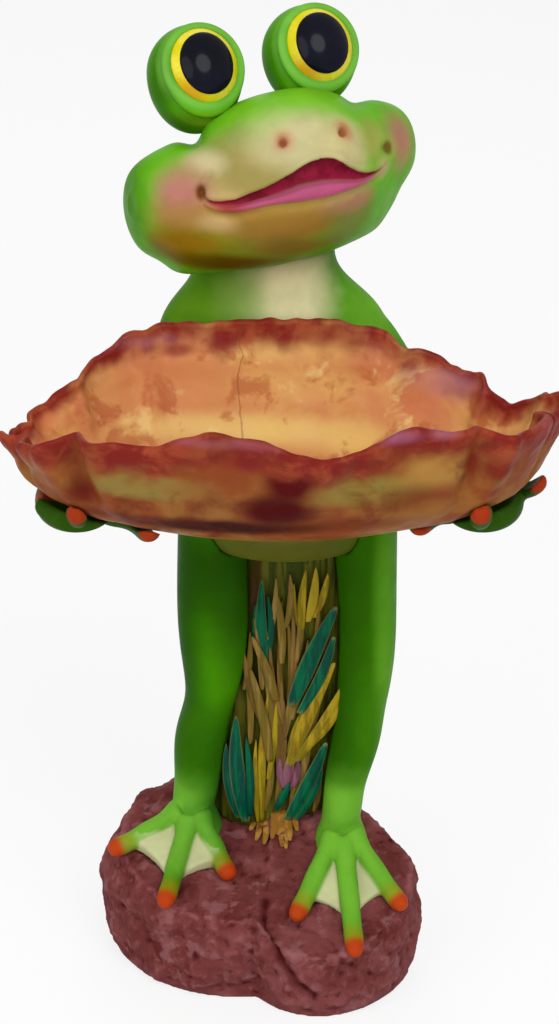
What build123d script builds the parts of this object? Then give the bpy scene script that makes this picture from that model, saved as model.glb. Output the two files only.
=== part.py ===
from build123d import *
import os
from math import cos, pi, sin, sqrt

# Frog figurine: a painted resin garden frog that stands on a rock and holds out a wide leaf dish.
# Frame: +Z up, the frog faces -Y, and the origin is on the floor under the middle of the body.
# "Left" and "right" are the viewer's, as one faces the frog: left is -X and right is +X.
# It is cast in pieces that are bonded over steel rods, so each casting is cut where it meets the next.

# Driving sizes, in millimetres
rock_height = 92.0
rock_width = 172.0
rock_depth = 152.0
seat_height = 82.0
foot_height = 15.0
foot_length = 72.0
leg_length = 238.0
thigh_radius = 19.0
hip_spacing = 81.0
hip_overlap = 67.0
torso_height = 187.0
torso_width = 134.0
torso_depth = 94.0
head_width = 164.0
head_depth = 114.0
head_height = 90.0
eye_radius = 26.0
arm_radius = 14.0
dish_length = 302.0
dish_width = 152.0
dish_depth = 66.0
dish_reach = 114.0
casting_wall = 7.0
overrun = 200.0

# Heights that follow each other up the figure
ankle_z = seat_height + foot_height
leg_top_z = ankle_z + leg_length
torso_base_z = leg_top_z - hip_overlap
torso_top_z = torso_base_z + torso_height
standing = (Align.CENTER, Align.CENTER, Align.MIN)


def ring(centre, radius_x, radius_y):
    """A level ellipse, one section of a body form."""
    return Plane(origin=centre) * Ellipse(radius_x, radius_y)


def facing(a, b, across):
    """The direction from a to b, and the across direction made square to it."""
    along = (b - a).normalized()
    return along, (across - along * across.dot(along)).normalized()


def blade(points, half_widths, half_thicks, across=Vector(1, 0, 0)):
    """A smooth solid along points, with an ellipse of its own size at each one."""
    points = [Vector(*p) for p in points]
    last = len(points) - 1
    sections = []
    for i, point in enumerate(points):
        along, side = facing(points[max(i - 1, 0)], points[min(i + 1, last)], across)
        plane = Plane(origin=point, x_dir=side, z_dir=along)
        sections.append(plane * Ellipse(half_widths[i], half_thicks[i]))
    return loft(sections)


def limb(points, radii, across=Vector(1, 0, 0)):
    """A smooth round limb along points."""
    return blade(points, radii, radii, across)


def bar(a, b, radius):
    """A straight round bar from a to b."""
    a, b = Vector(*a), Vector(*b)
    return Plane(origin=a, z_dir=b - a) * Cylinder(radius, (b - a).length, align=standing)


def between(a, b, share):
    """The value at a share of the way from a to b."""
    return a + (b - a) * share


def near(a, b):
    """Whether the boxes around two shapes meet."""
    p, q = a.bounding_box(optimal=False), b.bounding_box(optimal=False)
    apart = (p.min.X > q.max.X or q.min.X > p.max.X or p.min.Y > q.max.Y or q.min.Y > p.max.Y
             or p.min.Z > q.max.Z or q.min.Z > p.max.Z)
    return not apart


def cut(shape, *others):
    """The largest solid of a shape, once the shapes that reach it are cut away."""
    for other in others:
        if near(shape, other):
            shape = shape - other
    return max(shape.solids(), key=lambda s: s.volume)


# Legs: each is one casting from the ankle to the hip, thick at the thigh, drawn in at the knee.
# Rows: height share of leg_length, across share of hip_spacing, forward and radius shares of thigh_radius.
left_leg_shares = [
    (0.000, -0.63, -0.26, 0.66, 0.70),
    (0.045, -0.61, -0.22, 0.70, 0.76),
    (0.100, -0.592, -0.16, 0.76, 0.84),
    (0.176, -0.568, -0.05, 0.83, 0.93),
    (0.240, -0.535, -0.10, 0.80, 0.90),
    (0.315, -0.492, -0.26, 0.81, 0.88),
    (0.496, -0.476, -0.26, 1.07, 1.12),
    (0.643, -0.478, -0.16, 1.07, 1.20),
    (0.811, -0.465, -0.05, 1.05, 1.30),
    (0.905, -0.452, 0.00, 0.99, 1.24),
    (1.000, -0.440, 0.05, 0.92, 1.16),
]
right_leg_shares = [
    (0.000, 0.45, -1.05, 0.60, 0.66),
    (0.045, 0.465, -0.98, 0.62, 0.70),
    (0.100, 0.490, -0.84, 0.66, 0.77),
    (0.176, 0.545, -0.60, 0.74, 0.86),
    (0.240, 0.575, -0.48, 0.76, 0.88),
    (0.315, 0.600, -0.42, 0.80, 0.90),
    (0.496, 0.630, -0.30, 0.88, 1.05),
    (0.643, 0.620, -0.16, 0.92, 1.18),
    (0.811, 0.595, -0.05, 1.00, 1.30),
    (0.905, 0.575, 0.00, 0.99, 1.24),
    (1.000, 0.555, 0.05, 0.96, 1.16),
]


def leg_point(row):
    """The centre of a leg at one row of its table."""
    return Vector(row[1] * hip_spacing, row[2] * thigh_radius, ankle_z + row[0] * leg_length)


def leg_form(rows):
    """The whole leg, before the torso is cut from it."""
    return loft([ring(leg_point(r), r[3] * thigh_radius, r[4] * thigh_radius) for r in rows])


left_leg_outside = leg_form(left_leg_shares)
right_leg_outside = leg_form(right_leg_shares)
left_ankle = leg_point(left_leg_shares[0])
right_ankle = leg_point(right_leg_shares[0])

# Leg rods: a steel bar runs from the hollow of the rock through each leg into the torso.
leg_rod_radius = 4.0
leg_rod_foot_z = 44.0
leg_rod_reach = 22.0


def leg_rod(rows):
    """A straight bar on the line from the ankle to the hip."""
    low, high = leg_point(rows[0]), leg_point(rows[-3])
    top, end = leg_top_z + leg_rod_reach - hip_overlap / 2, leg_rod_foot_z
    slope = (high - low) / (high.Z - low.Z)
    return bar(low + slope * (end - low.Z), low + slope * (top - low.Z), leg_rod_radius)


left_leg_rod = leg_rod(left_leg_shares)
right_leg_rod = leg_rod(right_leg_shares)

# Rock: two boulders in one hollow casting. A sloping seat is dressed for each foot.
# Boulder rows: centre shares and half size shares of the rock's width and depth, then of its height.
left_seat_slope = 0.36
right_seat_slope = 0.50
rock_wall = 9.0
cavity_height = 40.0
seat_split_share = -0.035
outline_shares = [1.0, 0.93, 0.95, 0.98, 1.0, 0.97, 1.0, 0.98, 1.0, 1.0, 0.97, 0.98]
level_shares = [(0, 0.90), (0.12, 0.96), (0.3, 0.99), (0.5, 1.0), (0.7, 0.96), (0.87, 0.87), (1.0, 0.62)]
rear_boulder_shares = (-0.122, -0.015, 0.5, 0.485, 0.98)
front_boulder_shares = (0.145, -0.20, 0.333, 0.428, 0.95)


def outline(shares, scale, z, inset=0):
    """One level outline of a boulder, drawn in by inset."""
    step = 2 * pi / len(outline_shares)
    points = []
    for i, share in enumerate(outline_shares):
        x = (shares[2] * rock_width * scale - inset) * share * cos(i * step)
        y = (shares[3] * rock_depth * scale - inset) * share * sin(i * step)
        points.append((shares[0] * rock_width + x, shares[1] * rock_depth + y, z))
    return make_face(Spline(*points, periodic=True))


def boulder(shares):
    """A round boulder, flat underneath."""
    return loft([outline(shares, scale, shares[4] * rock_height * level) for level, scale in level_shares])


def seat_plane(ankle, slope):
    """The dressed face under one foot, falling to the front."""
    return Plane(origin=(ankle.X, ankle.Y, seat_height), x_dir=(1, 0, 0), z_dir=(0, -slope, 1))


def above_seat(plane, side):
    """The space above a seat, on its own side of the rock."""
    block = Box(overrun, 2 * overrun, overrun, align=(side, Align.CENTER, Align.MIN))
    middle = plane.origin + plane.x_dir * (seat_split_share * rock_width - plane.origin.X)
    return Plane(origin=middle, x_dir=plane.x_dir, z_dir=plane.z_dir) * block


left_seat = seat_plane(left_ankle, left_seat_slope)
right_seat = seat_plane(right_ankle, right_seat_slope)
rock_outside = boulder(rear_boulder_shares) + boulder(front_boulder_shares)
rock_outside -= above_seat(left_seat, Align.MAX)
rock_outside -= above_seat(right_seat, Align.MIN)

# The hollow is open underneath, stepped for the base plate.
plate_thickness = 5.0
plate_ledge = 5.0
cavity_top_inset = 34.0


def hollow(shares):
    """The space inside one boulder."""
    scale = level_shares[0][1]
    return loft([
        outline(shares, scale, -plate_thickness, rock_wall + plate_ledge),
        outline(shares, scale, cavity_height / 2, rock_wall + plate_ledge),
        outline(shares, scale, cavity_height, cavity_top_inset),
    ])


def plate_form(shares):
    """One boulder's share of the base plate."""
    return extrude(outline(shares, level_shares[0][1], 0, rock_wall), plate_thickness)


base_plate = plate_form(rear_boulder_shares) + plate_form(front_boulder_shares)
rock = cut(rock_outside, hollow(rear_boulder_shares), hollow(front_boulder_shares), base_plate)
rock = cut(rock, left_leg_rod, right_leg_rod)

# Filling plug: a rubber stopper in the base plate, for weighting the hollow with sand.
plug_radius = 13.0
plug_flange = 3.0
plug_flange_thickness = 2.0
plug_height = 12.0
plug_place_shares = (-0.12, 0.16)
plug_place = Pos(plug_place_shares[0] * rock_width, plug_place_shares[1] * rock_depth, 0)
plug = plug_place * Cylinder(plug_radius, plug_height, align=standing)
flange = Cylinder(plug_radius + plug_flange, plug_flange_thickness, align=standing)
plug += plug_place * Pos(0, 0, plate_thickness) * flange
base_plate -= plug

# Feet: three webbed toes splayed over the rock, with round tips.
# Toe rows: share of the toe's length, then radius and lift as shares of toe_radius.
left_toe_shares = [(-0.66, -0.33), (-0.22, -0.88), (0.30, -0.60)]
right_toe_shares = [(-0.37, -0.80), (0.10, -1.12), (0.48, -0.70)]
toe_radius = 6.0
toe_row_shares = [
    (0.16, 1.06, 2.60),
    (0.30, 1.03, 2.20),
    (0.50, 0.98, 1.50),
    (0.72, 0.94, 0.92),
    (0.87, 0.95, 0.72),
    (0.96, 0.92, 0.66),
    (1.02, 0.72, 0.62),
    (1.05, 0.36, 0.60),
]
web_height = 15.0
web_slope = 0.22
web_reach_share = 0.80
web_notch_share = 0.72
ankle_flare_shares = [(-1.6, 1.42), (-0.75, 1.25), (-0.35, 1.06), (0.0, 1.0)]


def web_form(tips):
    """The web between the toes: it falls from the ankle to a front edge with two hollows."""
    a, b, c = [tip * web_reach_share for tip in tips]
    notches = [(tip + following) / 2 * web_notch_share for tip, following in zip(tips, tips[1:])]
    fronts = [ThreePointArc(a, notches[0], b), ThreePointArc(b, notches[1], c)]
    web = extrude(make_face([Line((0, 0), a), *fronts, Line(c, (0, 0))]), 2 * web_height)
    fall = (a + b + c).normalized() * web_slope
    above = Plane(origin=(0, 0, web_height), z_dir=(fall.X, fall.Y, 1))
    return web - above * Box(overrun, overrun, overrun, align=standing)


def foot_form(ankle, leg_row, seat, toe_shares):
    """A foot on its seat: the ankle, three toes and the web between them."""
    sections = []
    for drop, flare in ankle_flare_shares:
        centre = ankle + Vector(0, 0, drop * foot_height)
        sections.append(ring(centre, leg_row[3] * thigh_radius * flare, leg_row[4] * thigh_radius * flare))
    form = loft(sections)
    tips = [Vector(across, forward) * foot_length for across, forward in toe_shares]
    for tip in tips:
        points = [(tip.X * along, tip.Y * along, lift * toe_radius) for along, _, lift in toe_row_shares]
        form += seat * limb(points, [size * toe_radius for _, size, _ in toe_row_shares], Vector(0, 0, 1))
    form += seat * web_form(tips)
    under = Plane(origin=seat.origin, x_dir=seat.x_dir, z_dir=-seat.z_dir)
    return form - under * Box(2 * overrun, 2 * overrun, overrun, align=standing)


left_foot = cut(foot_form(left_ankle, left_leg_shares[0], left_seat, left_toe_shares), left_leg_rod)
right_foot = cut(foot_form(right_ankle, right_leg_shares[0], right_seat, right_toe_shares), right_leg_rod)

# Torso: a hollow casting with a round belly, sloping shoulders and a short neck.
# Rows: height share, across and forward shares of the half sizes, half width and half depth shares.
torso_shares = [
    (0.000, 0.06, -0.04, 0.64, 0.64),
    (0.050, 0.05, -0.05, 0.74, 0.80),
    (0.150, 0.05, -0.06, 0.80, 0.92),
    (0.330, 0.04, -0.04, 0.87, 1.00),
    (0.490, 0.01, 0.00, 0.91, 0.94),
    (0.640, -0.04, 0.04, 0.98, 0.80),
    (0.730, -0.05, 0.05, 0.93, 0.74),
    (0.790, -0.06, 0.05, 0.82, 0.70),
    (0.872, -0.10, 0.05, 0.63, 0.65),
    (1.000, -0.10, 0.05, 0.60, 0.65),
]
torso_cavity_rows = torso_shares[1:7]


def torso_ring(row, inset=0):
    """One level section of the torso, drawn in by inset."""
    centre = (row[1] * torso_width / 2, row[2] * torso_depth / 2, torso_base_z + row[0] * torso_height)
    return ring(centre, row[3] * torso_width / 2 - inset, row[4] * torso_depth / 2 - inset)


torso_outside = loft([torso_ring(row) for row in torso_shares])
torso_cavity = loft([torso_ring(row, casting_wall) for row in torso_cavity_rows])

# Head: wide cheeks, a snout that reaches forward and an open smiling mouth.
# Its own frame: x across, y back, z up. It is tipped up, turned and tilted on the neck.
head_rise = 36.5
head_across_share = -0.01
head_forward_share = -0.13
head_pitch = 16.0
head_turn = 24.5
head_tilt = 5.0
cheek_droop = 28.0
# Rows: across, back and up shares, half depth and half height shares of the half sizes, then a share
# of cheek_droop, by which each section leans back and down.
head_half_shares = [
    (0.00, -0.22, 0.045, 1.00, 1.00, 0.60),
    (0.30, -0.157, 0.013, 0.96, 0.95, 0.66),
    (0.55, -0.021, -0.060, 0.85, 0.82, 0.80),
    (0.72, 0.110, -0.080, 0.81, 0.71, 0.97),
    (0.86, 0.165, -0.028, 0.68, 0.58, 0.94),
    (0.95, 0.150, 0.046, 0.47, 0.40, 0.88),
    (1.00, 0.083, 0.088, 0.18, 0.15, 0.80),
]
head_shares = [(-row[0], *row[1:]) for row in head_half_shares[:0:-1]] + head_half_shares
head_centre = Pos(
    head_across_share * head_width, head_forward_share * head_depth, torso_top_z + head_rise)
head_place = head_centre * Rot(0, -head_tilt, 0) * Rot(0, 0, head_turn) * Rot(-head_pitch, 0, 0)


def head_form(inset=0):
    """The head in its own frame, drawn in by inset."""
    sections = []
    for across, back, up, deep, high, droop in head_shares:
        half_depth, half_height = deep * head_depth / 2 - inset, high * head_height / 2 - inset
        if half_depth > 0 and half_height > 0:
            centre = (across * head_width / 2, back * head_depth / 2, up * head_height / 2)
            lean = Vector(0, 1, 0).rotate(Axis.X, -droop * cheek_droop)
            plane = Plane(origin=centre, x_dir=lean, z_dir=(1, 0, 0))
            sections.append(plane * Ellipse(half_depth, half_height))
    return loft(sections)


# Mouth and nostrils: shallow recesses of an even depth in the face.
# Rows: across share of the half width, height share of the half height.
recess_depth = 4.5
upper_lip_shares = [
    (-0.66, 0.12), (-0.43, 0.00), (-0.2, 0.08), (0, 0.23), (0.2, 0.08), (0.43, 0.00), (0.66, 0.12),
]
lower_lip_shares = [(0.45, -0.13), (0.2, -0.21), (0, -0.23), (-0.2, -0.21), (-0.45, -0.13)]
nostril_radius = 3.2
nostril_shares = (0.20, 0.50)


def face_point(shares):
    """A place on the face, seen from the front."""
    return (shares[0] * head_width / 2, 0, shares[1] * head_height / 2)


def mouth_form():
    """The mouth's outline, pushed forward through the face."""
    upper = Spline(*[face_point(p) for p in upper_lip_shares])
    lower_shares = [upper_lip_shares[-1], *lower_lip_shares, upper_lip_shares[0]]
    lower = Spline(*[face_point(p) for p in lower_shares])
    return extrude(make_face([upper, lower]), head_depth, dir=(0, -1, 0))


def nostril_form(side):
    """One nostril, pushed forward through the face."""
    x, _, z = face_point((side * nostril_shares[0], nostril_shares[1]))
    return bar((x, 0, z), (x, -head_depth, z), nostril_radius)


# Eyes: a round ball with a raised lid on each side of the crown, pegged into the head.
# A yellow ring and a black dome are set into each ball.
eye_place_shares = (0.414, 0.02, 1.40)
gaze_up = 13.0
lid_radius = 21.8
lid_wire = 2.0
iris_radius_x = 18.8
iris_radius_z = 20.6
pupil_radius_x = 14.6
pupil_radius_z = 16.8
insert_depth = 13.0
iris_setback = 0.4
pupil_rise = 1.2
eye_peg_radius = 4.0
eye_peg_reach = 8.0


def eye_pieces(side):
    """The ball, the ring and the dome of one eye, in the frame of the head."""
    x, y, z = eye_place_shares
    centre = Vector(side * x * head_width / 2, y * head_depth / 2, z * head_height / 2)
    place = Pos(*centre) * Rot(90 - gaze_up, 0, 0)
    ball = Sphere(eye_radius) + Pos(0, 0, sqrt(eye_radius**2 - lid_radius**2)) * Torus(lid_radius, lid_wire)
    seat = Pos(0, 0, insert_depth) * extrude(Ellipse(iris_radius_x, iris_radius_z), eye_radius)
    core = Pos(0, 0, insert_depth) * extrude(Ellipse(pupil_radius_x, pupil_radius_z), eye_radius)
    iris = (seat - core) & Sphere(eye_radius - iris_setback)
    pupil = core & Sphere(eye_radius + pupil_rise)
    peg_top, peg_end = Vector(0, 0, insert_depth), Vector(0, 0, eye_radius + eye_peg_reach)
    peg = bar(centre - peg_top, centre - peg_end, eye_peg_radius)
    return [head_place * piece for piece in (place * (ball - seat) + peg, place * iris, place * pupil)]


left_eye = eye_pieces(-1)
right_eye = eye_pieces(1)
head_outside = head_place * head_form()
skin = head_form(recess_depth)
head = head_form() - head_form(casting_wall + recess_depth)
for recess in (mouth_form(), nostril_form(-1), nostril_form(1)):
    head -= recess - skin
head = head_place * head

# Neck dowel: a wooden dowel that joins the neck to the head.
neck_dowel_radius = 8.0
neck_dowel_length = 52.0
neck_top = torso_shares[-1]
neck_dowel_low = Vector(
    neck_top[1] * torso_width / 2,
    neck_top[2] * torso_depth / 2,
    torso_top_z - neck_dowel_length / 2 - head_rise / 2)
neck_dowel = bar(neck_dowel_low, neck_dowel_low + Vector(0, 0, neck_dowel_length), neck_dowel_radius)

# Dish: a leaf with a ruffled rim, held out in front of the chest.
dish_height_share = 0.374
dish_base_z = torso_base_z + torso_height * dish_height_share
dish_wall = 6.0
dish_level_shares = [
    (0.0, 0.56, 0.45),
    (0.12, 0.78, 0.60),
    (0.28, 0.90, 0.72),
    (0.6, 0.965, 0.87),
    (1.25, 1.01, 1.03),
]
ruffle_share = 0.03
ruffle_count = 7
dish_points = 28


def dish_place(across, back, up):
    """A place by shares of the dish's half length, half width and depth, from the middle of its base."""
    return Vector(across * dish_length / 2, back * dish_width / 2 - dish_reach, dish_base_z + up * dish_depth)


def dish_ring(level, long_share, short_share, inset=0):
    """One level outline of the dish, with the rim's ruffle growing towards the top."""
    points = []
    for i in range(dish_points):
        turn = 2 * pi * i / dish_points
        wave = 1 + ruffle_share * level * sin(ruffle_count * turn)
        x = (dish_length / 2 * long_share - inset) * wave * cos(turn)
        y = (dish_width / 2 * short_share - inset) * wave * sin(turn)
        points.append(dish_place(0, 0, level) + Vector(x, y, inset))
    return make_face(Spline(*points, periodic=True))


# Rim heights as shares of dish_depth, over across shares of the half length, left to right.
back_rim_shares = [
    (-1.1, 0.66), (-0.97, 0.66), (-0.84, 0.76), (-0.73, 0.90), (-0.68, 0.97), (-0.47, 1.10), (-0.28, 1.20),
    (-0.13, 1.23), (0.1, 1.21), (0.3, 1.16), (0.44, 1.03), (0.52, 1.05), (0.59, 0.92), (0.73, 0.88),
    (0.79, 0.80), (0.84, 0.68), (0.97, 0.88), (1.1, 0.90),
]
front_rim_shares = [
    (-1.1, 0.66), (-0.93, 0.76), (-0.72, 0.98), (-0.45, 1.02), (-0.27, 1.16), (-0.05, 1.14), (0.07, 1.02),
    (0.22, 0.94), (0.34, 1.02), (0.42, 1.15), (0.59, 1.11), (0.80, 1.03), (0.91, 0.98), (1.1, 0.90),
]


def above_rim(shares, side):
    """The space above one side's rim line, cut away from the dish."""
    points = [dish_place(across, 0, up) for across, up in shares]
    lift = Vector(0, 0, 2 * dish_depth)
    first, last = points[0], points[-1]
    rim, right = Spline(*points), Line(last, last + lift)
    top, left = Line(last + lift, first + lift), Line(first + lift, first)
    return extrude(make_face([rim, right, top, left]), dish_width, dir=(0, side, 0))


dish_outside = loft([dish_ring(*row) for row in dish_level_shares])
dish_outside = cut(dish_outside, above_rim(back_rim_shares, 1) + above_rim(front_rim_shares, -1))
dish_inside = loft([dish_ring(*row, dish_wall) for row in dish_level_shares])

# Arms: an upper arm, a forearm and a hand on each side, over a steel wire. The hands carry the dish.
# Upper arm rows: across, back and height shares of the torso, then radius share of arm_radius.
upper_arm_shares = [
    (0.68, 0.06, 0.700, 0.98),
    (0.82, 0.06, 0.620, 1.09),
    (1.01, 0.10, 0.503, 1.07),
    (1.19, 0.15, 0.396, 1.00),
    (1.27, 0.14, 0.350, 0.80),
]
# Forearm rows: share of the way from the elbow to the wrist, then radius share.
forearm_shares = [(-0.05, 0.80), (0.2, 0.98), (0.55, 0.88), (0.85, 0.78), (1.0, 0.75)]
wrist_shares = (0.742, 0.63, 0.08)
# Palm rows: across, back and up shares of the dish, then thickness and width as shares of arm_radius.
palm_shares = [
    (0.742, 0.684, 0.08, 0.71, 0.80),
    (0.735, 0.395, 0.09, 0.80, 1.25),
    (0.725, 0.100, 0.09, 0.80, 1.55),
    (0.712, -0.130, 0.09, 0.72, 1.45),
    (0.700, -0.300, 0.11, 0.50, 0.95),
]
# Finger places: across, back and up shares of the dish, from the palm to the tip.
left_finger_shares = [
    [
        (0.760, 0.300, 0.09),
        (0.800, 0.080, 0.09),
        (0.815, -0.080, 0.11),
        (0.820, -0.170, 0.16),
        (0.820, -0.200, 0.20),
    ],
    [
        (0.689, 0.211, 0.06),
        (0.702, -0.079, 0.07),
        (0.702, -0.320, 0.14),
        (0.702, -0.430, 0.25),
        (0.702, -0.470, 0.34),
    ],
    [
        (0.649, 0.184, 0.03),
        (0.543, -0.053, -0.01),
        (0.470, -0.310, 0.02),
        (0.450, -0.410, 0.09),
        (0.444, -0.440, 0.14),
    ],
]
right_finger_shares = [
    [
        (0.760, 0.300, 0.10),
        (0.830, 0.140, 0.14),
        (0.890, 0.010, 0.24),
        (0.905, -0.030, 0.31),
        (0.910, -0.045, 0.36),
    ],
    [
        (0.689, 0.211, 0.06),
        (0.702, -0.105, 0.07),
        (0.700, -0.380, 0.16),
        (0.698, -0.480, 0.28),
        (0.696, -0.510, 0.35),
    ],
    [
        (0.649, 0.184, 0.03),
        (0.560, 0.020, -0.02),
        (0.510, -0.120, -0.02),
        (0.490, -0.190, 0.01),
        (0.484, -0.220, 0.04),
    ],
]
finger_radius_shares = [0.46, 0.43, 0.40, 0.43, 0.26]

# Arm wires are bent through the shoulder, the elbow and the wrist. Dish pins stand in the palms.
arm_wire_radius = 2.5
arm_wire_root = 21.0
dish_pin_radius = 2.5
dish_pin_shares = (0.70, 0.10)
dish_pin_low_share = -0.02
dish_pin_high_share = 0.13


def mirrored(point, side):
    """A place on one arm, mirrored to its side."""
    return Vector(side * point.X, point.Y, point.Z)


def torso_place(across, back, up):
    """A place by shares of the torso's half width, half depth and height."""
    return Vector(across * torso_width / 2, back * torso_depth / 2, torso_base_z + up * torso_height)


def arm_limb(points, shares, side):
    """One round stretch of an arm on its side."""
    return limb([mirrored(p, side) for p in points], [share * arm_radius for share in shares], Vector(0, 0, 1))


def arm_wire(points, side):
    """The wire inside one arm, in straight runs."""
    points = [mirrored(p, side) for p in points]
    wire = bar(points[0] - Vector(side * arm_wire_root, 0, 0), points[0], arm_wire_radius)
    for a, b in zip(points, points[1:]):
        wire += Pos(*a) * Sphere(arm_wire_radius)
        wire += bar(a, b, arm_wire_radius)
    return wire


def arm_pieces(side, finger_rows):
    """The upper arm, the forearm, the hand, the wire and the dish pin of one side."""
    shoulder, elbow = [torso_place(*row[:3]) for row in (upper_arm_shares[0], upper_arm_shares[3])]
    wrist, palm = dish_place(*wrist_shares), dish_place(*palm_shares[1][:3])
    wire = arm_wire([shoulder, elbow, wrist, palm], side)
    pin = bar(mirrored(dish_place(*dish_pin_shares, dish_pin_low_share), side),
              mirrored(dish_place(*dish_pin_shares, dish_pin_high_share), side), dish_pin_radius)
    upper_points = [torso_place(*row[:3]) for row in upper_arm_shares]
    upper = arm_limb(upper_points, [row[3] for row in upper_arm_shares], side)
    lower_points = [between(elbow, wrist, share) for share, _ in forearm_shares]
    lower = arm_limb(lower_points, [share for _, share in forearm_shares], side)
    palm_points = [mirrored(dish_place(*row[:3]), side) for row in palm_shares]
    thicks, widths = [[row[i] * arm_radius for row in palm_shares] for i in (3, 4)]
    hand = blade(palm_points, thicks, widths, Vector(0, 0, 1))
    for row in finger_rows:
        hand += arm_limb([dish_place(*shares) for shares in row], finger_radius_shares, side)
    hand = cut(hand, lower, wire, pin, dish_outside)
    return cut(upper, torso_outside, wire), cut(lower, upper, wire, dish_outside), hand, wire, pin


left_arm = arm_pieces(-1, left_finger_shares)
right_arm = arm_pieces(1, right_finger_shares)
dish = cut(dish_outside, dish_inside, left_arm[4], right_arm[4])

# The torso gives way to the head above it, and is drilled for the rods and the dowel.
torso = cut(torso_outside, torso_cavity, head_outside, left_leg_rod, right_leg_rod, neck_dowel)
torso = cut(torso, left_arm[3], right_arm[3])
head = cut(head, neck_dowel, left_eye[0], right_eye[0])
left_leg = cut(left_leg_outside, left_foot, torso_outside, left_leg_rod)
right_leg = cut(right_leg_outside, right_foot, torso_outside, right_leg_rod)

# Foliage: a post of moulded reeds fills the gap between the legs and carries coloured leaves.
# Post rows: height share, across and half width shares of hip_spacing, half depth share of post_depth.
post_shares = [
    (0.0, -0.05, 0.46, 1.1),
    (0.12, -0.02, 0.45, 1.0),
    (0.5, 0.05, 0.48, 0.9),
    (0.8, 0.09, 0.46, 0.9),
    (1.0, 0.10, 0.46, 0.9),
]
post_depth = 15.0
post_back = 6.0
post_overlap_share = 0.1
post_base_z = seat_height - foot_height
post_top_z = between(torso_base_z, torso_top_z, post_overlap_share)


def post_place(across, up, y):
    """A place by shares of hip_spacing and of the post's height."""
    return Vector(across * hip_spacing, y, between(post_base_z, post_top_z, up))


post_rings = []
for up, across, wide, deep in post_shares:
    post_rings.append(ring(post_place(across, up, post_back), wide * hip_spacing, deep * post_depth))
standing_parts = [rock_outside, torso_outside, left_leg_outside, right_leg_outside, left_foot, right_foot]
reed_post = cut(loft(post_rings), *standing_parts)

# Leaves: each runs between two places on the post, as shares, then its half width as a share.
leaf_half_width = 9.0
leaf_half_thickness = 5.0
leaf_edge_share = 0.5
leaf_front = -9.0
leaf_profile_shares = [(0.0, 0.25), (0.12, 0.62), (0.35, 1.0), (0.65, 0.92), (0.88, 0.55), (1.0, 0.15)]
leaf_shares = {
    "teal_leaf_upper_left": ((-0.05, 0.60), (-0.15, 0.94), 0.78),
    "teal_leaf_upper_right": ((0.11, 0.52), (0.36, 0.79), 0.94),
    "teal_leaf_lower_left": ((-0.28, 0.14), (-0.30, 0.44), 1.00),
    "teal_leaf_lower_right": ((0.12, 0.15), (0.32, 0.36), 0.83),
    "yellow_leaf_top": ((0.12, 0.76), (0.24, 0.93), 1.00),
    "yellow_leaf_right": ((0.08, 0.32), (0.40, 0.61), 0.94),
    "yellow_leaf_left": ((-0.14, 0.14), (-0.08, 0.52), 0.56),
    "brown_reed": ((0.04, 0.44), (0.03, 0.90), 0.44),
    "purple_bud": ((0.03, 0.22), (0.07, 0.36), 0.67),
}


def leaf_form(low, high, width_share):
    """A long leaf that stands on the front of the reed post."""
    points, widths, thicks = [], [], []
    for along, wide in leaf_profile_shares:
        points.append(post_place(between(low[0], high[0], along), between(low[1], high[1], along), leaf_front))
        widths.append(wide * width_share * leaf_half_width)
        thicks.append(between(wide, 1, leaf_edge_share) * leaf_half_thickness)
    return blade(points, widths, thicks)


leaves = {}
for name, row in leaf_shares.items():
    leaves[name] = cut(leaf_form(*row), reed_post, *standing_parts, *leaves.values())

pieces = {
    "rock_base": rock,
    "base_plate": base_plate,
    "filling_plug": plug,
    "left_leg_rod": left_leg_rod,
    "right_leg_rod": right_leg_rod,
    "left_foot": left_foot,
    "right_foot": right_foot,
    "left_leg": left_leg,
    "right_leg": right_leg,
    "torso": torso,
    "neck_dowel": neck_dowel,
    "head": head,
    "left_eyeball": left_eye[0],
    "left_iris": left_eye[1],
    "left_pupil": left_eye[2],
    "right_eyeball": right_eye[0],
    "right_iris": right_eye[1],
    "right_pupil": right_eye[2],
    "dish": dish,
    "reed_post": reed_post,
    **leaves,
}
for side, arm in (("left", left_arm), ("right", right_arm)):
    for part_name, solid in zip(("upper_arm", "forearm", "hand", "arm_wire", "dish_pin"), arm):
        pieces[f"{side}_{part_name}"] = solid

os.makedirs("parts", exist_ok=True)
for name, piece in pieces.items():
    export_step(piece, f"parts/{name}.step")
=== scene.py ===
import math

import bmesh
import bpy
import numpy as np
from mathutils import Matrix, Vector, noise
from mathutils.bvhtree import BVHTree


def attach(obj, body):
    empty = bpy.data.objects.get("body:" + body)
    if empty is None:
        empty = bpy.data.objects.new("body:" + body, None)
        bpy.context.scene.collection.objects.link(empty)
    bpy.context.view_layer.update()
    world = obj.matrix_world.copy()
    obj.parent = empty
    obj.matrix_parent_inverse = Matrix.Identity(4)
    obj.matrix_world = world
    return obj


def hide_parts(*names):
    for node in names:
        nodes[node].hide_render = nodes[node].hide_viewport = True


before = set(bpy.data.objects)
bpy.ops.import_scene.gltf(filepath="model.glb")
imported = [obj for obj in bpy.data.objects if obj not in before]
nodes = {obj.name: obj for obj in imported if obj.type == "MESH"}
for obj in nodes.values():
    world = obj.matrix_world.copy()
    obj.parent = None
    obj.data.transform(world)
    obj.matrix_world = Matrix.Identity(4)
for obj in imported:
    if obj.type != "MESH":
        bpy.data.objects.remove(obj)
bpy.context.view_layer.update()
scene = bpy.context.scene
mm = 0.001

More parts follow.
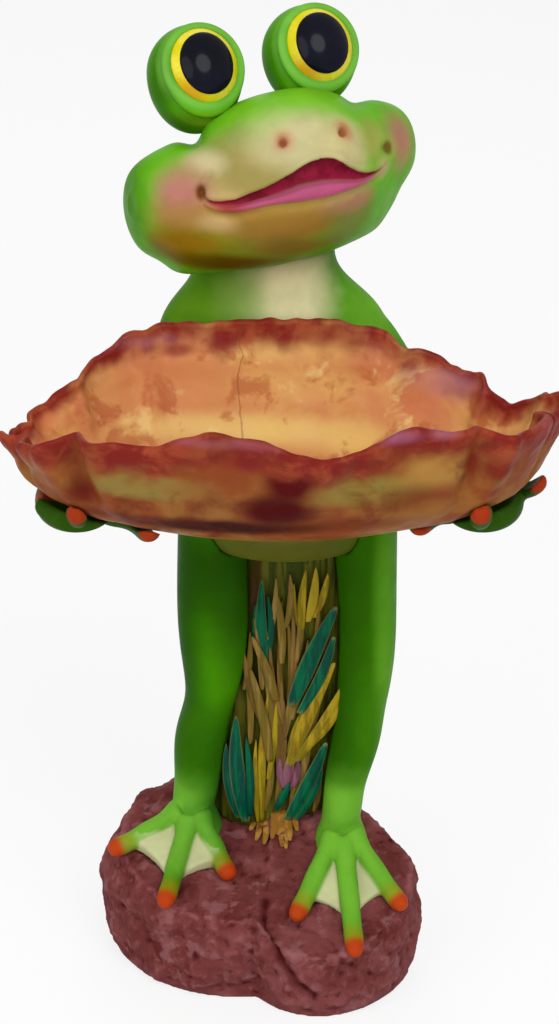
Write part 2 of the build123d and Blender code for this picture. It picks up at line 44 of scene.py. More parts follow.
# Camera. It stands 1.9 m in front with a long lens and looks down at 25 degrees.
# The picture is 559 x 1024 pixels. "seen" says where in it a point falls, and "at_depth" turns that round.
picture_width, picture_height = 559, 1024
camera_pitch = math.radians(25)
camera_distance = 1.9
camera_lens = 116.96
camera_sensor = 36.0
aim_height = 0.3
aim_row = 488
lens_pixels = camera_lens / camera_sensor * picture_height
look = Vector((0, math.cos(camera_pitch), -math.sin(camera_pitch)))
up_in_view = Vector((0, math.sin(camera_pitch), math.cos(camera_pitch)))
camera_place = Vector((0, 0, aim_height)) - look * camera_distance
camera = bpy.data.objects.new("camera", bpy.data.cameras.new("camera"))
camera.location = camera_place
camera.rotation_euler = (math.pi / 2 - camera_pitch, 0, 0)
camera.data.lens = camera_lens
camera.data.sensor_width = camera_sensor
camera.data.shift_y = (aim_row - picture_height / 2) / picture_height
scene.collection.objects.link(camera)
scene.camera = camera
scene.view_settings.view_transform = "Standard"


def seen(points):
    """The picture place of each point, as two arrays of pixels."""
    away = points - np.array(camera_place)
    depth = away @ np.array(look)
    across = picture_width / 2 + lens_pixels * away[:, 0] / depth
    down = aim_row - lens_pixels * (away @ np.array(up_in_view)) / depth
    return across, down


def view_ray(across, down):
    """The direction from the camera through a place in the picture."""
    ray = look * lens_pixels + up_in_view * (aim_row - down)
    ray.x += across - picture_width / 2
    return ray.normalized()


def at_depth(across, down, y):
    """The point on the upright plane at y that falls on a place in the picture."""
    ray = view_ray(across, down)
    return camera_place + ray * ((y - camera_place.y) / ray.y)


# Studio. The floor is a matt white sheet that keeps the figure's shadow.
# Two soft lamps stand over the front, a third behind, and a dim sky fills the shade.
sky_light = 0.50
floor_glow = 0.80
floor_reach = 14
white = (1, 1, 1, 1)
lamps = [
    ("key_lamp", (0.55, -1.45, 1.75), 1.3, 22.5),
    ("fill_lamp", (-1.05, -1.35, 1.15), 1.6, 13.5),
    ("back_lamp", (-0.2, 1.6, 1.8), 1.6, 9.0),
]


def linear(red, green, blue):
    """A paint colour as the shaders take it, from its 0 to 255 values on a screen."""
    shares = [value / 255 for value in (red, green, blue)]
    return tuple(s / 12.92 if s <= 0.04045 else ((s + 0.055) / 1.055) ** 2.4 for s in shares) + (1.0,)


def feed(tree, value, socket):
    """Links a socket to another, or sets it where the value is plain."""
    if isinstance(value, bpy.types.NodeSocket):
        tree.links.new(value, socket)
    else:
        socket.default_value = value


def calc(tree, operation, *values, kind="ShaderNodeMath", out=0):
    """A math node fed with sockets or numbers."""
    node = tree.nodes.new(kind)
    node.operation = operation
    for socket, value in zip(node.inputs, values):
        feed(tree, value, socket)
    return node.outputs[out]


def show_white(tree):
    """How much a ray should see plain white: all of a camera, mirror or glass ray."""
    rays = tree.nodes.new("ShaderNodeLightPath").outputs
    either = calc(tree, "MAXIMUM", rays["Is Camera Ray"], rays["Is Glossy Ray"])
    return calc(tree, "MAXIMUM", either, rays["Is Transmission Ray"])


world = bpy.data.worlds.new("sky")
world.use_nodes = True
scene.world = world
sky = world.node_tree
sky_shader = sky.nodes["Background"]
sky_shader.inputs["Color"].default_value = white
sky_level = sky.nodes.new("ShaderNodeMapRange")
sky_level.inputs["To Min"].default_value = sky_light
sky_level.inputs["To Max"].default_value = 1.0
feed(sky, show_white(sky), sky_level.inputs["Value"])
feed(sky, sky_level.outputs[0], sky_shader.inputs["Strength"])

floor_form = bmesh.new()
bmesh.ops.create_grid(floor_form, x_segments=4, y_segments=4, size=floor_reach)
floor_mesh = bpy.data.meshes.new("floor")
floor_form.to_mesh(floor_mesh)
floor_form.free()
floor = bpy.data.objects.new("floor", floor_mesh)
scene.collection.objects.link(floor)
floor_paint = bpy.data.materials.new("white_floor")
floor_paint.use_nodes = True
tree = floor_paint.node_tree
tree.nodes.clear()
matt, glow, mix, out = [tree.nodes.new("ShaderNode" + kind) for kind in ("BsdfDiffuse", "Emission", "MixShader",
                                                                         "OutputMaterial")]
matt.inputs["Color"].default_value = (0.9, 0.9, 0.9, 1)
glow.inputs["Color"].default_value = white
feed(tree, calc(tree, "MULTIPLY", show_white(tree), floor_glow), mix.inputs[0])
feed(tree, matt.outputs[0], mix.inputs[1])
feed(tree, glow.outputs[0], mix.inputs[2])
feed(tree, mix.outputs[0], out.inputs["Surface"])
floor_mesh.materials.append(floor_paint)

for lamp_name, lamp_place, lamp_size, lamp_power in lamps:
    lamp = bpy.data.objects.new(lamp_name, bpy.data.lights.new(lamp_name, "AREA"))
    lamp.data.shape = "DISK"
    lamp.data.size = lamp_size
    lamp.data.energy = lamp_power
    lamp.location = lamp_place
    lamp.rotation_euler = (Vector(lamp_place) - Vector((0, 0, aim_height))).to_track_quat("Z", "Y").to_euler()
    scene.collection.objects.link(lamp)

# Rock. Two boulders in one rough resin casting, painted a matt reddish brown with mauve dry brushing.
# The CAD form is fused, then its lumps, the deep crease between the boulders and smaller cracks are carved.
# The hollows and the deep crease are darkened brown as painted shade.
rock_voxel, rock_rounds = 1.7 * mm, 2
rock_lump = 3.4 * mm
rock_grit = 1.3 * mm
rock_centre = Vector((0, 0, -20 * mm))
rock_cracks = [
    ([(266, 900), (265, 912), (270, 940), (281, 964), (297, 984), (314, 997)], 3.6 * mm, 5.0),
    ([(120, 905), (140, 922), (146, 945), (160, 962)], 1.6 * mm, 4.0),
    ([(196, 905), (205, 930), (228, 946), (252, 950)], 1.5 * mm, 4.0),
    ([(300, 925), (330, 940), (345, 965), (372, 975)], 1.4 * mm, 4.0),
    ([(330, 900), (338, 918), (352, 930)], 1.2 * mm, 3.5),
]
rock_flat = 5 * mm
rock_top_calm = 0.8
crease_shade_width = 4.0
paint_shine = 0.02
black, origin = (0, 0, 0, 1), (0, 0, 0)
coat_rough = 0.12


def add_piece(name, form, slot, *replaced):
    """A form made into a smooth shaded piece that rides on the figure."""
    mesh = bpy.data.meshes.new(name)
    piece = bpy.data.objects.new(name, mesh)
    scene.collection.objects.link(piece)
    put_back(piece, form)
    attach(piece, "root")
    if replaced:
        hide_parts(*replaced)
    return piece


def taken_from(piece):
    """A piece's mesh as a form to work on."""
    form = bmesh.new()
    form.from_mesh(piece.data)
    return form


def put_back(piece, form):
    """A worked form made a piece's mesh, with smooth shading."""
    form.to_mesh(piece.data)
    form.free()
    piece.data.shade_smooth()


def largest_lump(piece):
    """Clears away anything that isn't joined to the main body of a piece."""
    form = taken_from(piece)
    left, lumps = set(form.verts), []
    while left:
        lump, edge = [], {left.pop()}
        while edge:
            lump += edge
            edge = {link.other_vert(vert) for vert in edge for link in vert.link_edges} & left
            left -= edge
        lumps.append(lump)
    for lump in sorted(lumps, key=len)[:-1]:
        bmesh.ops.delete(form, geom=lump, context="VERTS")
    put_back(piece, form)


def fused_skin(name, parts, voxel, rounds, slot):
    """One skin over the castings that it covers, as filler and paint leave it."""
    form = bmesh.new()
    for part in parts:
        form.from_mesh(nodes[part].data)
    bmesh.ops.remove_doubles(form, verts=form.verts, dist=0.002 * mm)
    piece = add_piece(name, form, slot, *parts)
    fuse = piece.modifiers.new("fuse", "REMESH")
    fuse.mode = "VOXEL"
    fuse.voxel_size = voxel
    settle = piece.modifiers.new("settle", "SMOOTH")
    settle.factor = 0.5
    settle.iterations = rounds
    mesh = bpy.data.meshes.new_from_object(piece.evaluated_get(bpy.context.evaluated_depsgraph_get()))
    piece.modifiers.clear()
    piece.data = mesh
    mesh.name = name
    largest_lump(piece)
    return piece


def places(piece):
    """The corners of a piece's mesh, one row each."""
    co = np.zeros(len(piece.data.vertices) * 3, np.float32)
    piece.data.vertices.foreach_get("co", co)
    return co.reshape(-1, 3).astype(float)


def facings(piece):
    """The way that the surface faces at each corner."""
    ways = np.zeros(len(piece.data.vertices) * 3, np.float32)
    piece.data.vertex_normals.foreach_get("vector", ways)
    return ways.reshape(-1, 3).astype(float)


def set_places(piece, co):
    """Moves the corners of a piece's mesh."""
    piece.data.vertices.foreach_set("co", co.astype(np.float32).ravel())
    piece.data.update()


def set_mask(piece, name, values):
    """Keeps a paint mask on the mesh, one value for each corner."""
    layer = piece.data.attributes.new(name, "FLOAT", "POINT")
    layer.data.foreach_set("value", np.clip(values, 0, 1).astype(np.float32))


def rising(low, high, values):
    """0 below low, 1 above high and a smooth rise between."""
    share = np.clip((values - low) / (high - low), 0, 1)
    return share * share * (3 - 2 * share)


def hump(gap, wide):
    """1 at a gap of nothing, fading to nothing past the width."""
    return np.exp(-(gap / wide) ** 2)


def lumps_at(co, size, octaves, shift=0.0):
    """Uneven lumps of about one size, from -1 to 1, the same at each run."""
    turn = Vector((shift, 3 * shift, 7 * shift))
    return np.array([noise.fractal(Vector(p) / size + turn, 1.0, 2.0, octaves) for p in co])


def from_line(across, down, line):
    """How far each picture place is from a line of picture places, in pixels."""
    nearest = np.full(len(across), 1e9)
    for (x0, y0), (x1, y1) in zip(line, line[1:]):
        dx, dy = x1 - x0, y1 - y0
        share = np.clip(((across - x0) * dx + (down - y0) * dy) / (dx * dx + dy * dy), 0, 1)
        nearest = np.minimum(nearest, np.hypot(across - x0 - share * dx, down - y0 - share * dy))
    return nearest


rock = fused_skin("rock_skin", ["rock_base"], rock_voxel, rock_rounds, "rock_paint")
co, ways = places(rock), facings(rock)
outwards = co - np.array(rock_centre)
outer = rising(0.0, 0.3, (outwards * ways).sum(1) / np.linalg.norm(outwards, axis=1))
outer *= rising(0.5 * mm, rock_flat, co[:, 2])
top = rising(0.80, 0.93, ways[:, 2])
swell = lumps_at(co, 22 * mm, 3) * rock_lump + lumps_at(co, 7 * mm, 3, 1.7) * rock_grit
swell = np.where(swell > 0, swell * (1 - rock_top_calm * top), swell)
across, down = seen(co)
front = rising(0.05, 0.4, -(ways @ np.array(look)))
for line, deep, wide in rock_cracks:
    swell -= deep * hump(from_line(across, down, line), wide) * front
set_places(rock, co + ways * (swell * outer)[:, None])
# The crack mask marks where painted shade darkens the deep crease.
set_mask(rock, "crack", hump(from_line(across, down, rock_cracks[0][0]), crease_shade_width) * front)


def effect(name, **takes):
    """An empty node group that gives a colour, with its named inputs and their usual values."""
    group = bpy.data.node_groups.new(name, "ShaderNodeTree")
    for label, value in takes.items():
        kind = "Float" if isinstance(value, float) else {3: "Vector", 4: "Color"}[len(value)]
        group.interface.new_socket(label, in_out="INPUT", socket_type="NodeSocket" + kind).default_value = value
    group.interface.new_socket("Colour", in_out="OUTPUT", socket_type="NodeSocketColor")
    return group, group.nodes.new("NodeGroupInput").outputs, group.nodes.new("NodeGroupOutput").inputs["Colour"]


def blended(tree, share, under, over):
    """One colour laid over another by a share."""
    node = tree.nodes.new("ShaderNodeMix")
    node.data_type = "RGBA"
    for index, value in ((0, share), (6, under), (7, over)):
        feed(tree, value, node.inputs[index])
    return node.outputs[2]


def ramped(tree, value, low, high, out_low=0.0, out_high=1.0):
    """A smooth rise of a value between two limits."""
    node = tree.nodes.new("ShaderNodeMapRange")
    node.interpolation_type = "SMOOTHSTEP"
    for index, part in enumerate((value, low, high, out_low, out_high)):
        feed(tree, part, node.inputs[index])
    return node.outputs[0]


def noise_at(tree, place, scale, detail=3.0, rough=0.55, twist=0.0):
    """A noise value over the piece."""
    node = tree.nodes.new("ShaderNodeTexNoise")
    for label, value in (("Vector", place), ("Scale", scale), ("Detail", detail), ("Roughness", rough),
                         ("Distortion", twist)):
        feed(tree, value, node.inputs[label])
    return node.outputs[0]


# Dabbed paint, by sponge or dry brush: one colour shows through another in uneven patches.
dabbed, dab_in, dab_out = effect("dabbed paint", Under=black, Paint=white, Place=origin, Scale=60.0, Cover=0.5,
                                 Edge=0.1, Strength=1.0)
dab_patch = noise_at(dabbed, dab_in["Place"], dab_in["Scale"], 4.0, 0.6, 0.4)
dab_low = calc(dabbed, "SUBTRACT", calc(dabbed, "SUBTRACT", 1.0, dab_in["Cover"]), dab_in["Edge"])
dab_high = calc(dabbed, "ADD", calc(dabbed, "SUBTRACT", 1.0, dab_in["Cover"]), dab_in["Edge"])
dab_share = calc(dabbed, "MULTIPLY", ramped(dabbed, dab_patch, dab_low, dab_high), dab_in["Strength"])
feed(dabbed, blended(dabbed, dab_share, dab_in["Under"], dab_in["Paint"]), dab_out)

# Airbrushed paint: a soft round or long patch of colour at one place on the figure, used for the paint and also for
# painted shade and highlights.
airbrush, spray_in, spray_out = effect("airbrushed paint", Under=black, Paint=white, Place=origin, Centre=origin,
                                       Reach=(0.01, 0.01, 0.01), Wobble=0.0, Softness=0.7, Strength=1.0)
vector_math = "ShaderNodeVectorMath"
spray_off = calc(airbrush, "SUBTRACT", spray_in["Place"], spray_in["Centre"], kind=vector_math)
spray_share = calc(airbrush, "DIVIDE", spray_off, spray_in["Reach"], kind=vector_math)
spray_edge = calc(airbrush, "ADD", calc(airbrush, "LENGTH", spray_share, kind=vector_math, out=1), spray_in["Wobble"])
spray_soft = calc(airbrush, "SUBTRACT", 1.0, spray_in["Softness"])
spray_cover = ramped(airbrush, spray_edge, spray_soft, 1.0, 1.0, 0.0)
spray_cover = calc(airbrush, "MULTIPLY", spray_cover, spray_in["Strength"])
feed(airbrush, blended(airbrush, spray_cover, spray_in["Under"], spray_in["Paint"]), spray_out)


def laid(tree, group, **values):
    """One use of an effect in a material, with its own values."""
    node = tree.nodes.new("ShaderNodeGroup")
    node.node_tree = group
    for label, value in values.items():
        feed(tree, value, node.inputs[label])
    return node.outputs[0]


def patch(tree, place, colour, paint, centre, reach, softness, strength=1.0, wobble=0.0):
    """One airbrushed patch laid over a colour, with its centre and how far it reaches each way."""
    return laid(tree, airbrush, Under=colour, Paint=linear(*paint), Place=place, Centre=centre, Reach=reach,
                Wobble=wobble, Softness=softness, Strength=strength)


def dabs(tree, place, colour, *rows):
    """Dabs of paint laid over a colour one by one, each with its paint, scale, cover, edge and strength."""
    for paint, *amounts in rows:
        amounts = dict(zip(("Scale", "Cover", "Edge", "Strength"), amounts))
        colour = laid(tree, dabbed, Under=colour, Paint=linear(*paint), Place=place, **amounts)
    return colour


def new_paint(name, pieces, rough, coat=0.0):
    """A paint on some pieces: its tree, and the place on the piece that its patterns follow."""
    paint = bpy.data.materials.new(name)
    paint.use_nodes = True
    shader = paint.node_tree.nodes["Principled BSDF"].inputs
    for label, value in (("Roughness", rough), ("Coat Weight", coat), ("Coat Roughness", coat_rough),
                         ("Specular IOR Level", paint_shine)):
        shader[label].default_value = value
    for piece in pieces:
        piece.data.materials.clear()
        piece.data.materials.append(paint)
    return paint.node_tree, paint.node_tree.nodes.new("ShaderNodeTexCoord").outputs["Object"]


def finish(tree, place, colour, sheen=None, relief=None):
    """Feeds a paint its colour, its uneven roughness (scale, least, most) and its relief (mm, strength, noise)."""
    shader = tree.nodes["Principled BSDF"].inputs
    feed(tree, colour, shader["Base Color"])
    if sheen:
        feed(tree, ramped(tree, noise_at(tree, place, sheen[0]), 0.3, 0.7, *sheen[1:]), shader["Roughness"])
    if relief:
        high, strength, *grain = relief
        bump = tree.nodes.new("ShaderNodeBump")
        bump.inputs["Strength"].default_value = strength
        bump.inputs["Distance"].default_value = high * mm
        feed(tree, noise_at(tree, place, *grain), bump.inputs["Height"])
        feed(tree, bump.outputs[0], shader["Normal"])


def mask_of(tree, name):
    """A paint mask that is kept on the mesh."""
    node = tree.nodes.new("ShaderNodeAttribute")
    node.attribute_name = name
    return node.outputs["Fac"]


def wear_and_hollow_shade_of(tree, low, high, most=1.0):
    """How far a place is an outer edge, where paint rubs off or a dry brush catches; with the limits reversed, how
    far it is a hollow, for painted shade.
    """
    return ramped(tree, tree.nodes.new("ShaderNodeNewGeometry").outputs["Pointiness"], low, high, 0.0, most)


tree, place = new_paint("rock_paint", [rock], 0.62)
colour = dabs(tree, place, linear(106, 52, 50), ((128, 70, 70), 34, 0.5, 0.10, 0.8),
              ((92, 36, 34), 52, 0.42, 0.08, 0.7), ((142, 92, 94), 70, 0.40, 0.05, 0.6))
colour = blended(tree, wear_and_hollow_shade_of(tree, 0.505, 0.56, 0.55), colour, linear(150, 92, 94))
# Painted shade: dark brown laid into the hollows of the rock.
colour = blended(tree, wear_and_hollow_shade_of(tree, 0.495, 0.44), colour, linear(70, 20, 20))
# Painted shade: darker still down the deep crease between the boulders.
colour = blended(tree, calc(tree, "MULTIPLY", mask_of(tree, "crack"), 0.75), colour, linear(70, 18, 20))
finish(tree, place, colour, (120, 0.5, 0.75), (1.2, 0.7, 260, 5.0, 0.65))

# Base plate, filling plug, rods, wires, pins and dowel. They hold the castings together and hardly show:
# bare cast resin and black rubber underneath, plain drawn steel and a turned hardwood dowel inside.


def brushed(tree, place, squeeze=0.08):
    """Places drawn out along the stems, so that a pattern runs up them as grain or brush strokes."""
    strokes = tree.nodes.new("ShaderNodeMapping")
    strokes.inputs["Scale"].default_value = (1, 1, squeeze)
    feed(tree, place, strokes.inputs["Vector"])
    return strokes.outputs[0]


tree, place = new_paint("plate_resin", [nodes["base_plate"]], 0.7)
finish(tree, place, dabs(tree, place, linear(120, 104, 94), ((96, 82, 74), 45)), None, (0.6, 0.5, 300))
tree, place = new_paint("plug_rubber", [nodes["filling_plug"]], 0.8)
finish(tree, place, dabs(tree, place, linear(44, 44, 46), ((58, 56, 54), 160)), None, (0.2, 0.5, 900))

metal_parts = ["left_leg_rod", "right_leg_rod", "left_arm_wire", "right_arm_wire", "left_dish_pin", "right_dish_pin"]
tree, place = new_paint("steel_rod", [nodes[part] for part in metal_parts], 0.32)
tree.nodes["Principled BSDF"].inputs["Metallic"].default_value = 1.0
drawn = brushed(tree, place, 0.02)
colour = dabs(tree, drawn, linear(196, 196, 198), ((160, 158, 156), 900))
finish(tree, drawn, colour, (1500, 0.25, 0.45))

tree, place = new_paint("dowel_wood", [nodes["neck_dowel"]], 0.55)
grain = brushed(tree, place, 0.06)
finish(tree, grain, dabs(tree, grain, linear(196, 160, 112), ((150, 112, 70), 420)), None, (0.2, 0.5, 700))

# Legs. Each leg and its webbed foot are one skin of satin paint over the joint of the two castings.
# Lime is airbrushed over a middle green, the webs are cream, and the toe tips are dipped in orange red.
leg_voxel, leg_rounds = 1.15 * mm, 7
toe_length = 72 * mm
toe_line = [(0.0, 17.0), (0.16, 15.6), (0.30, 13.2), (0.50, 9.0), (0.72, 5.5), (0.87, 4.3), (1.05, 3.6)]
toe_round = 5.3 * mm
toe_lift = 4 * mm
web_soft = 1.5 * mm
web_fall, web_height = 0.22, 15 * mm
web_over = 2.5 * mm
web_from, web_to, web_start = 14 * mm, 62 * mm, 8 * mm
tip_root = 5 * mm
skin_rough = 0.42
to_right = Vector((1, 0, 0))
mid_green = linear(56, 118, 2)
lime = linear(97, 172, 22)
legs = [
    ("left", Vector((-51.0, -4.9, 82.0)) * mm, 0.36, [(-0.66, -0.33), (-0.22, -0.88), (0.30, -0.60)]),
    ("right", Vector((36.5, -20.0, 82.0)) * mm, 0.50, [(-0.37, -0.80), (0.10, -1.12), (0.48, -0.70)]),
]
# Of these sprays, the dark greens down the left of each leg and at the hips are painted shade, and the pale band down
# the right of the right leg is a painted highlight.
leg_sprays = {
    "left": [
        (212, 690, 20, 36, (66, 134, 4)), (182, 640, 11, 80, (30, 76, 0)), (205, 575, 40, 24, (32, 74, 2)),
        (236, 620, 14, 26, (36, 80, 4), 0.7), (188, 750, 16, 24, (46, 96, 2), 0.8),
        (216, 750, 12, 26, (38, 88, 8), 0.7), (182, 800, 18, 8, (108, 172, 40), 0.9, 0.8),
        (165, 825, 38, 30, (108, 170, 50), 0.95, 0.6), (215, 800, 13, 18, (40, 112, 26), 0.8),
    ],
    "right": [
        (352, 620, 14, 80, (38, 86, 0)), (386, 640, 6, 80, (96, 158, 34), 0.8),
        (366, 740, 8, 36, (58, 116, 8), 0.8), (340, 740, 10, 44, (38, 86, 2), 0.8),
        (338, 804, 17, 9, (112, 172, 44), 0.85, 0.8), (345, 865, 60, 40, (108, 172, 48), 0.95, 0.6),
        (308, 802, 12, 16, (34, 120, 44), 0.6),
    ],
}


def tree_of(piece):
    """A search tree over a finished mesh, for finding where a ray meets it."""
    return BVHTree.FromObject(piece, bpy.context.evaluated_depsgraph_get())


def aimed(search, across, down):
    """Where a place in the picture falls on a piece."""
    hit = search.ray_cast(camera_place, view_ray(across, down))[0]
    return hit if hit is not None else at_depth(across, down, 0.0)


def sprayed(tree, colour, place, piece, sprays):
    """Airbrushed patches of paint and of painted shade and highlight: picture place, half sizes in mm out to half
    strength, colour, strength and softness.

    Strength and softness are 0.9 each where a row leaves them out.
    """
    wobble = calc(tree, "MULTIPLY", calc(tree, "SUBTRACT", noise_at(tree, place, 28.0), 0.5), 0.5)
    search = tree_of(piece)
    for across, down, wide, high, tint, *firmness in sprays:
        strength, softness = (*firmness, 0.9, 0.9)[:2]
        fade = mm / (1 - softness / 2)
        reach = (wide * fade, max(wide, high) * fade, high * fade)
        colour = patch(tree, place, colour, tint, aimed(search, across, down), reach, softness, strength, wobble)
    return colour


def skin_finish(tree, place, colour):
    """The satin sheen and the faint ripple of sprayed paint, with the colour under it."""
    shade = ramped(tree, noise_at(tree, place, 60.0, 4.0), 0.35, 0.65, 0.0, 0.12)
    colour = blended(tree, shade, colour, linear(30, 50, 6))
    finish(tree, place, colour, (90, 0.34, 0.46), (0.35, 0.35, 320, 2.0))


for side, seat, slope, toes in legs:
    castings = [f"{side}_leg", f"{side}_foot"]
    leg = fused_skin(f"{side}_leg_skin", castings, leg_voxel, leg_rounds, "green_skin")
    co = places(leg)
    seat_up = Vector((0, -slope, 1)).normalized()
    seat_back = seat_up.cross(to_right)
    off = co - np.array(seat)
    flat = np.stack([off[:, 0], off @ np.array(seat_back)], 1)
    above = off @ np.array(seat_up)
    nearest = np.full(len(co), 1e9)
    inside = np.zeros(len(co))
    tips = [np.array(toe) * toe_length for toe in toes]
    for tip in tips:
        share = np.clip(flat @ tip / (tip @ tip), 0, 1.05)
        raise_up = above - np.interp(share, *zip(*toe_line)) * mm
        nearest = np.minimum(nearest, np.hypot(np.linalg.norm(flat - share[:, None] * tip, axis=1), raise_up))
    for a, b in zip(tips, tips[1:]):
        turn_a = a[0] * flat[:, 1] - a[1] * flat[:, 0]
        turn_b = flat[:, 0] * b[1] - flat[:, 1] * b[0]
        inside = np.maximum(inside, (turn_a > 0) & (turn_b > 0))
    from_ankle = np.linalg.norm(flat, axis=1)
    web_level = web_height - web_fall * (flat @ (sum(tips) / np.linalg.norm(sum(tips))))
    web = rising(toe_round, toe_round + web_soft, nearest) * inside * (above < web_level + web_over)
    web *= rising(web_from, web_from + web_start, from_ankle) * (from_ankle < web_to)
    set_mask(leg, "web", web)
    tree, place = new_paint(f"{side}_leg_paint", [leg], skin_rough)
    # The sprays lay the lime paint, the painted shade and the painted highlight.
    colour = sprayed(tree, mid_green, place, leg, leg_sprays[side])
    colour = blended(tree, mask_of(tree, "web"), colour, linear(192, 194, 146))
    for across, forward in toes:
        tip = seat + to_right * across * toe_length + seat_back * forward * toe_length + seat_up * toe_lift
        root = tip - (seat_back * forward + to_right * across).normalized() * tip_root
        colour = patch(tree, place, colour, (150, 130, 20), root, (14 * mm,) * 3, 0.6, 0.55)
        colour = patch(tree, place, colour, (180, 54, 22), tip, (9.8 * mm,) * 3, 0.45, 0.95)
    skin_finish(tree, place, colour)

# Torso and arms. The hollow body casting, with the upper arms and forearms bonded on, filled and painted.
# The chest and the belly are cream, with olive painted shade low down under the dish, and the shoulders are green.
torso_voxel, torso_rounds = 1.9 * mm, 5
cream_centre, cream_reach = Vector((2, -52, 345)) * mm, Vector((52, 30, 95)) * mm
# The olive band low on the belly and the dark greens where the legs join are painted shade under the dish and the
# belly.
torso_sprays = [
    (285, 560, 60, 24, (88, 86, 26), 0.95, 0.7), (212, 575, 28, 30, (34, 76, 2), 0.9, 0.8),
    (378, 570, 28, 30, (42, 92, 4), 0.9, 0.8), (198, 310, 28, 22, (94, 136, 24), 0.85),
    (372, 310, 24, 30, (106, 168, 42), 0.85), (289, 296, 22, 34, (216, 208, 160), 1.0, 0.75),
    (240, 300, 13, 18, (128, 160, 70), 0.7),
]
torso = fused_skin("torso_skin", ["torso", "left_upper_arm", "right_upper_arm", "left_forearm", "right_forearm"],
                   torso_voxel, torso_rounds, "green_skin")
tree, place = new_paint("torso_paint", [torso], skin_rough)
colour = patch(tree, place, mid_green, (186, 172, 116), cream_centre, cream_reach, 0.6)
colour = sprayed(tree, colour, place, torso, torso_sprays)
skin_finish(tree, place, colour)

# Hands. They are cast with three round-tipped fingers that curl up round the dish, which rests in the palms.
# Deep green satin paint, with the finger tips dipped in orange red.
hand_voxel, hand_rounds = 1.1 * mm, 4
tip_reach = 6.6
finger_tips = {
    "left": [(76, 517), (149, 535), (42, 495)],
    "right": [(542, 484), (480, 516), (424, 532)],
}
for side in ("left", "right"):
    hand = fused_skin(f"{side}_hand_skin", [f"{side}_hand"], hand_voxel, hand_rounds, "green_skin")
    tree, place = new_paint(f"{side}_hand_paint", [hand], skin_rough)
    tips = [(x, y, tip_reach, tip_reach, (158, 48, 22), 0.95, 0.45) for x, y in finger_tips[side]]
    skin_finish(tree, place, sprayed(tree, linear(44, 78, 12), place, hand, tips))

# Head. One hollow casting with wide cheeks, a snout that reaches forward and a smile carved by hand.
# The CAD recesses are filled, then lips, mouth, nostrils and dimples are modelled where the picture shows them.
head_voxel, head_rounds = 1.25 * mm, 2
head_place = (Matrix.Translation(Vector((-1.64, -14.82, 491.5)) * mm) @ Matrix.Rotation(math.radians(-5), 4, "Y")
              @ Matrix.Rotation(math.radians(24.5), 4, "Z") @ Matrix.Rotation(math.radians(-16), 4, "X"))
recess_top = ([-54.1, -35.3, -16.4, 0, 16.4, 35.3, 54.1], [5.4, 0, 3.6, 10.4, 3.6, 0, 5.4])
recess_low = ([-54.1, -36.9, -16.4, 0, 16.4, 36.9, 54.1], [5.4, -5.9, -9.5, -10.4, -9.5, -5.9, 5.4])
recess_margin = 2.6
recess_reach = 57.0
nostril_recess = [(-16.4, 22.5), (16.4, 22.5)]
nostril_margin = 6.0
fill_rounds = 420
# The band of the face that is divided finer round the mouth, in pixels, and how far forward the face begins.
fine_from, fine_to, fine_above, fine_below = 192, 394, 9, 6
snout_front, face_front = -30 * mm, -20 * mm
# The mouth in the picture: column, upper lip line, top of the lower lip and foot of the lower lip.
mouth_lines = np.array([
    (196, 193, 193, 194), (200, 194, 196, 199), (206, 198, 201, 206), (214, 201, 205, 211), (222, 201, 206, 213),
    (236, 199, 206, 213), (250, 193, 203, 210), (264, 187.5, 199.5, 207), (280, 179.5, 195, 204.5),
    (292, 173, 191, 203), (302, 166, 187, 202), (312, 160.5, 184.5, 200.5), (320, 157.5, 183, 199.5),
    (327, 157, 182, 198), (334, 158, 181.5, 196), (341, 161, 181, 193.5), (348, 166, 181, 191),
    (358, 171, 180.5, 187.5), (366, 172.5, 179, 184), (374, 171, 175.5, 179.5), (382, 167, 170, 173),
    (388, 161, 162, 163),
])
nostrils = [(283, 143), (342, 133)]
dimples = [((201, 192), 4.0, 5.5), ((387, 148), 3.6, 5.0)]
# Grabs: a place in the picture, how far the form is drawn across and up in mm, and how wide in pixels.
grabs = [((190, 130), 2.5, -6.5, 13), ((355, 98), -1.0, -2.5, 11), ((404, 188), -3.2, 0.5, 20),
         ((388, 210), -1.8, 0.8, 18), ((158, 262), 2.0, 2.0, 16)]
swells = [((174, 205), 2.2, 26), ((398, 150), 1.2, 14), ((322, 150), 1.2, 26), ((300, 236), 1.0, 30)]
cheek_fold = [(203, 199), (199, 190), (203, 181), (209, 173)]
# Depths and heights of the carving, in mm.
mouth_deep, upper_lip, lower_lip, chin_groove, fold_deep = 6.0, 1.3, 1.9, 0.9, 1.6
nostril_rim, nostril_deep = 0.6, 2.8

head = fused_skin("head_skin", ["head"], head_voxel, head_rounds, "green_skin")
form = taken_from(head)
to_head = head_place.inverted()


def in_recess(point):
    """Whether a point of the head lies in one of the CAD form's recesses, or near its edge."""
    x, y, z = [value / mm for value in to_head @ point]
    if y > 0:
        return False
    if any(math.hypot(x - across, z - high) < nostril_margin for across, high in nostril_recess):
        return True
    low, high = np.interp(x, *recess_low) - recess_margin, np.interp(x, *recess_top) + recess_margin
    return abs(x) < recess_reach and low < z < high


filled = [vert for vert in form.verts if in_recess(vert.co)]
for _ in range(fill_rounds):
    bmesh.ops.smooth_vert(form, verts=filled, factor=0.9, use_axis_x=True, use_axis_y=True, use_axis_z=True)
corner_places = np.array([vert.co for vert in form.verts])
across, down = seen(corner_places)
band = (across > fine_from) & (across < fine_to) & (corner_places[:, 1] < snout_front)
band &= (down > np.interp(across, mouth_lines[:, 0], mouth_lines[:, 1]) - fine_above)
band &= (down < np.interp(across, mouth_lines[:, 0], mouth_lines[:, 3]) + fine_below)
form.verts.ensure_lookup_table()
for vert, chosen in zip(form.verts, band):
    vert.tag = bool(chosen)
fine = [edge for edge in form.edges if edge.verts[0].tag and edge.verts[1].tag]
bmesh.ops.subdivide_edges(form, edges=fine, cuts=1, use_grid_fill=True, smooth=0.0)
put_back(head, form)

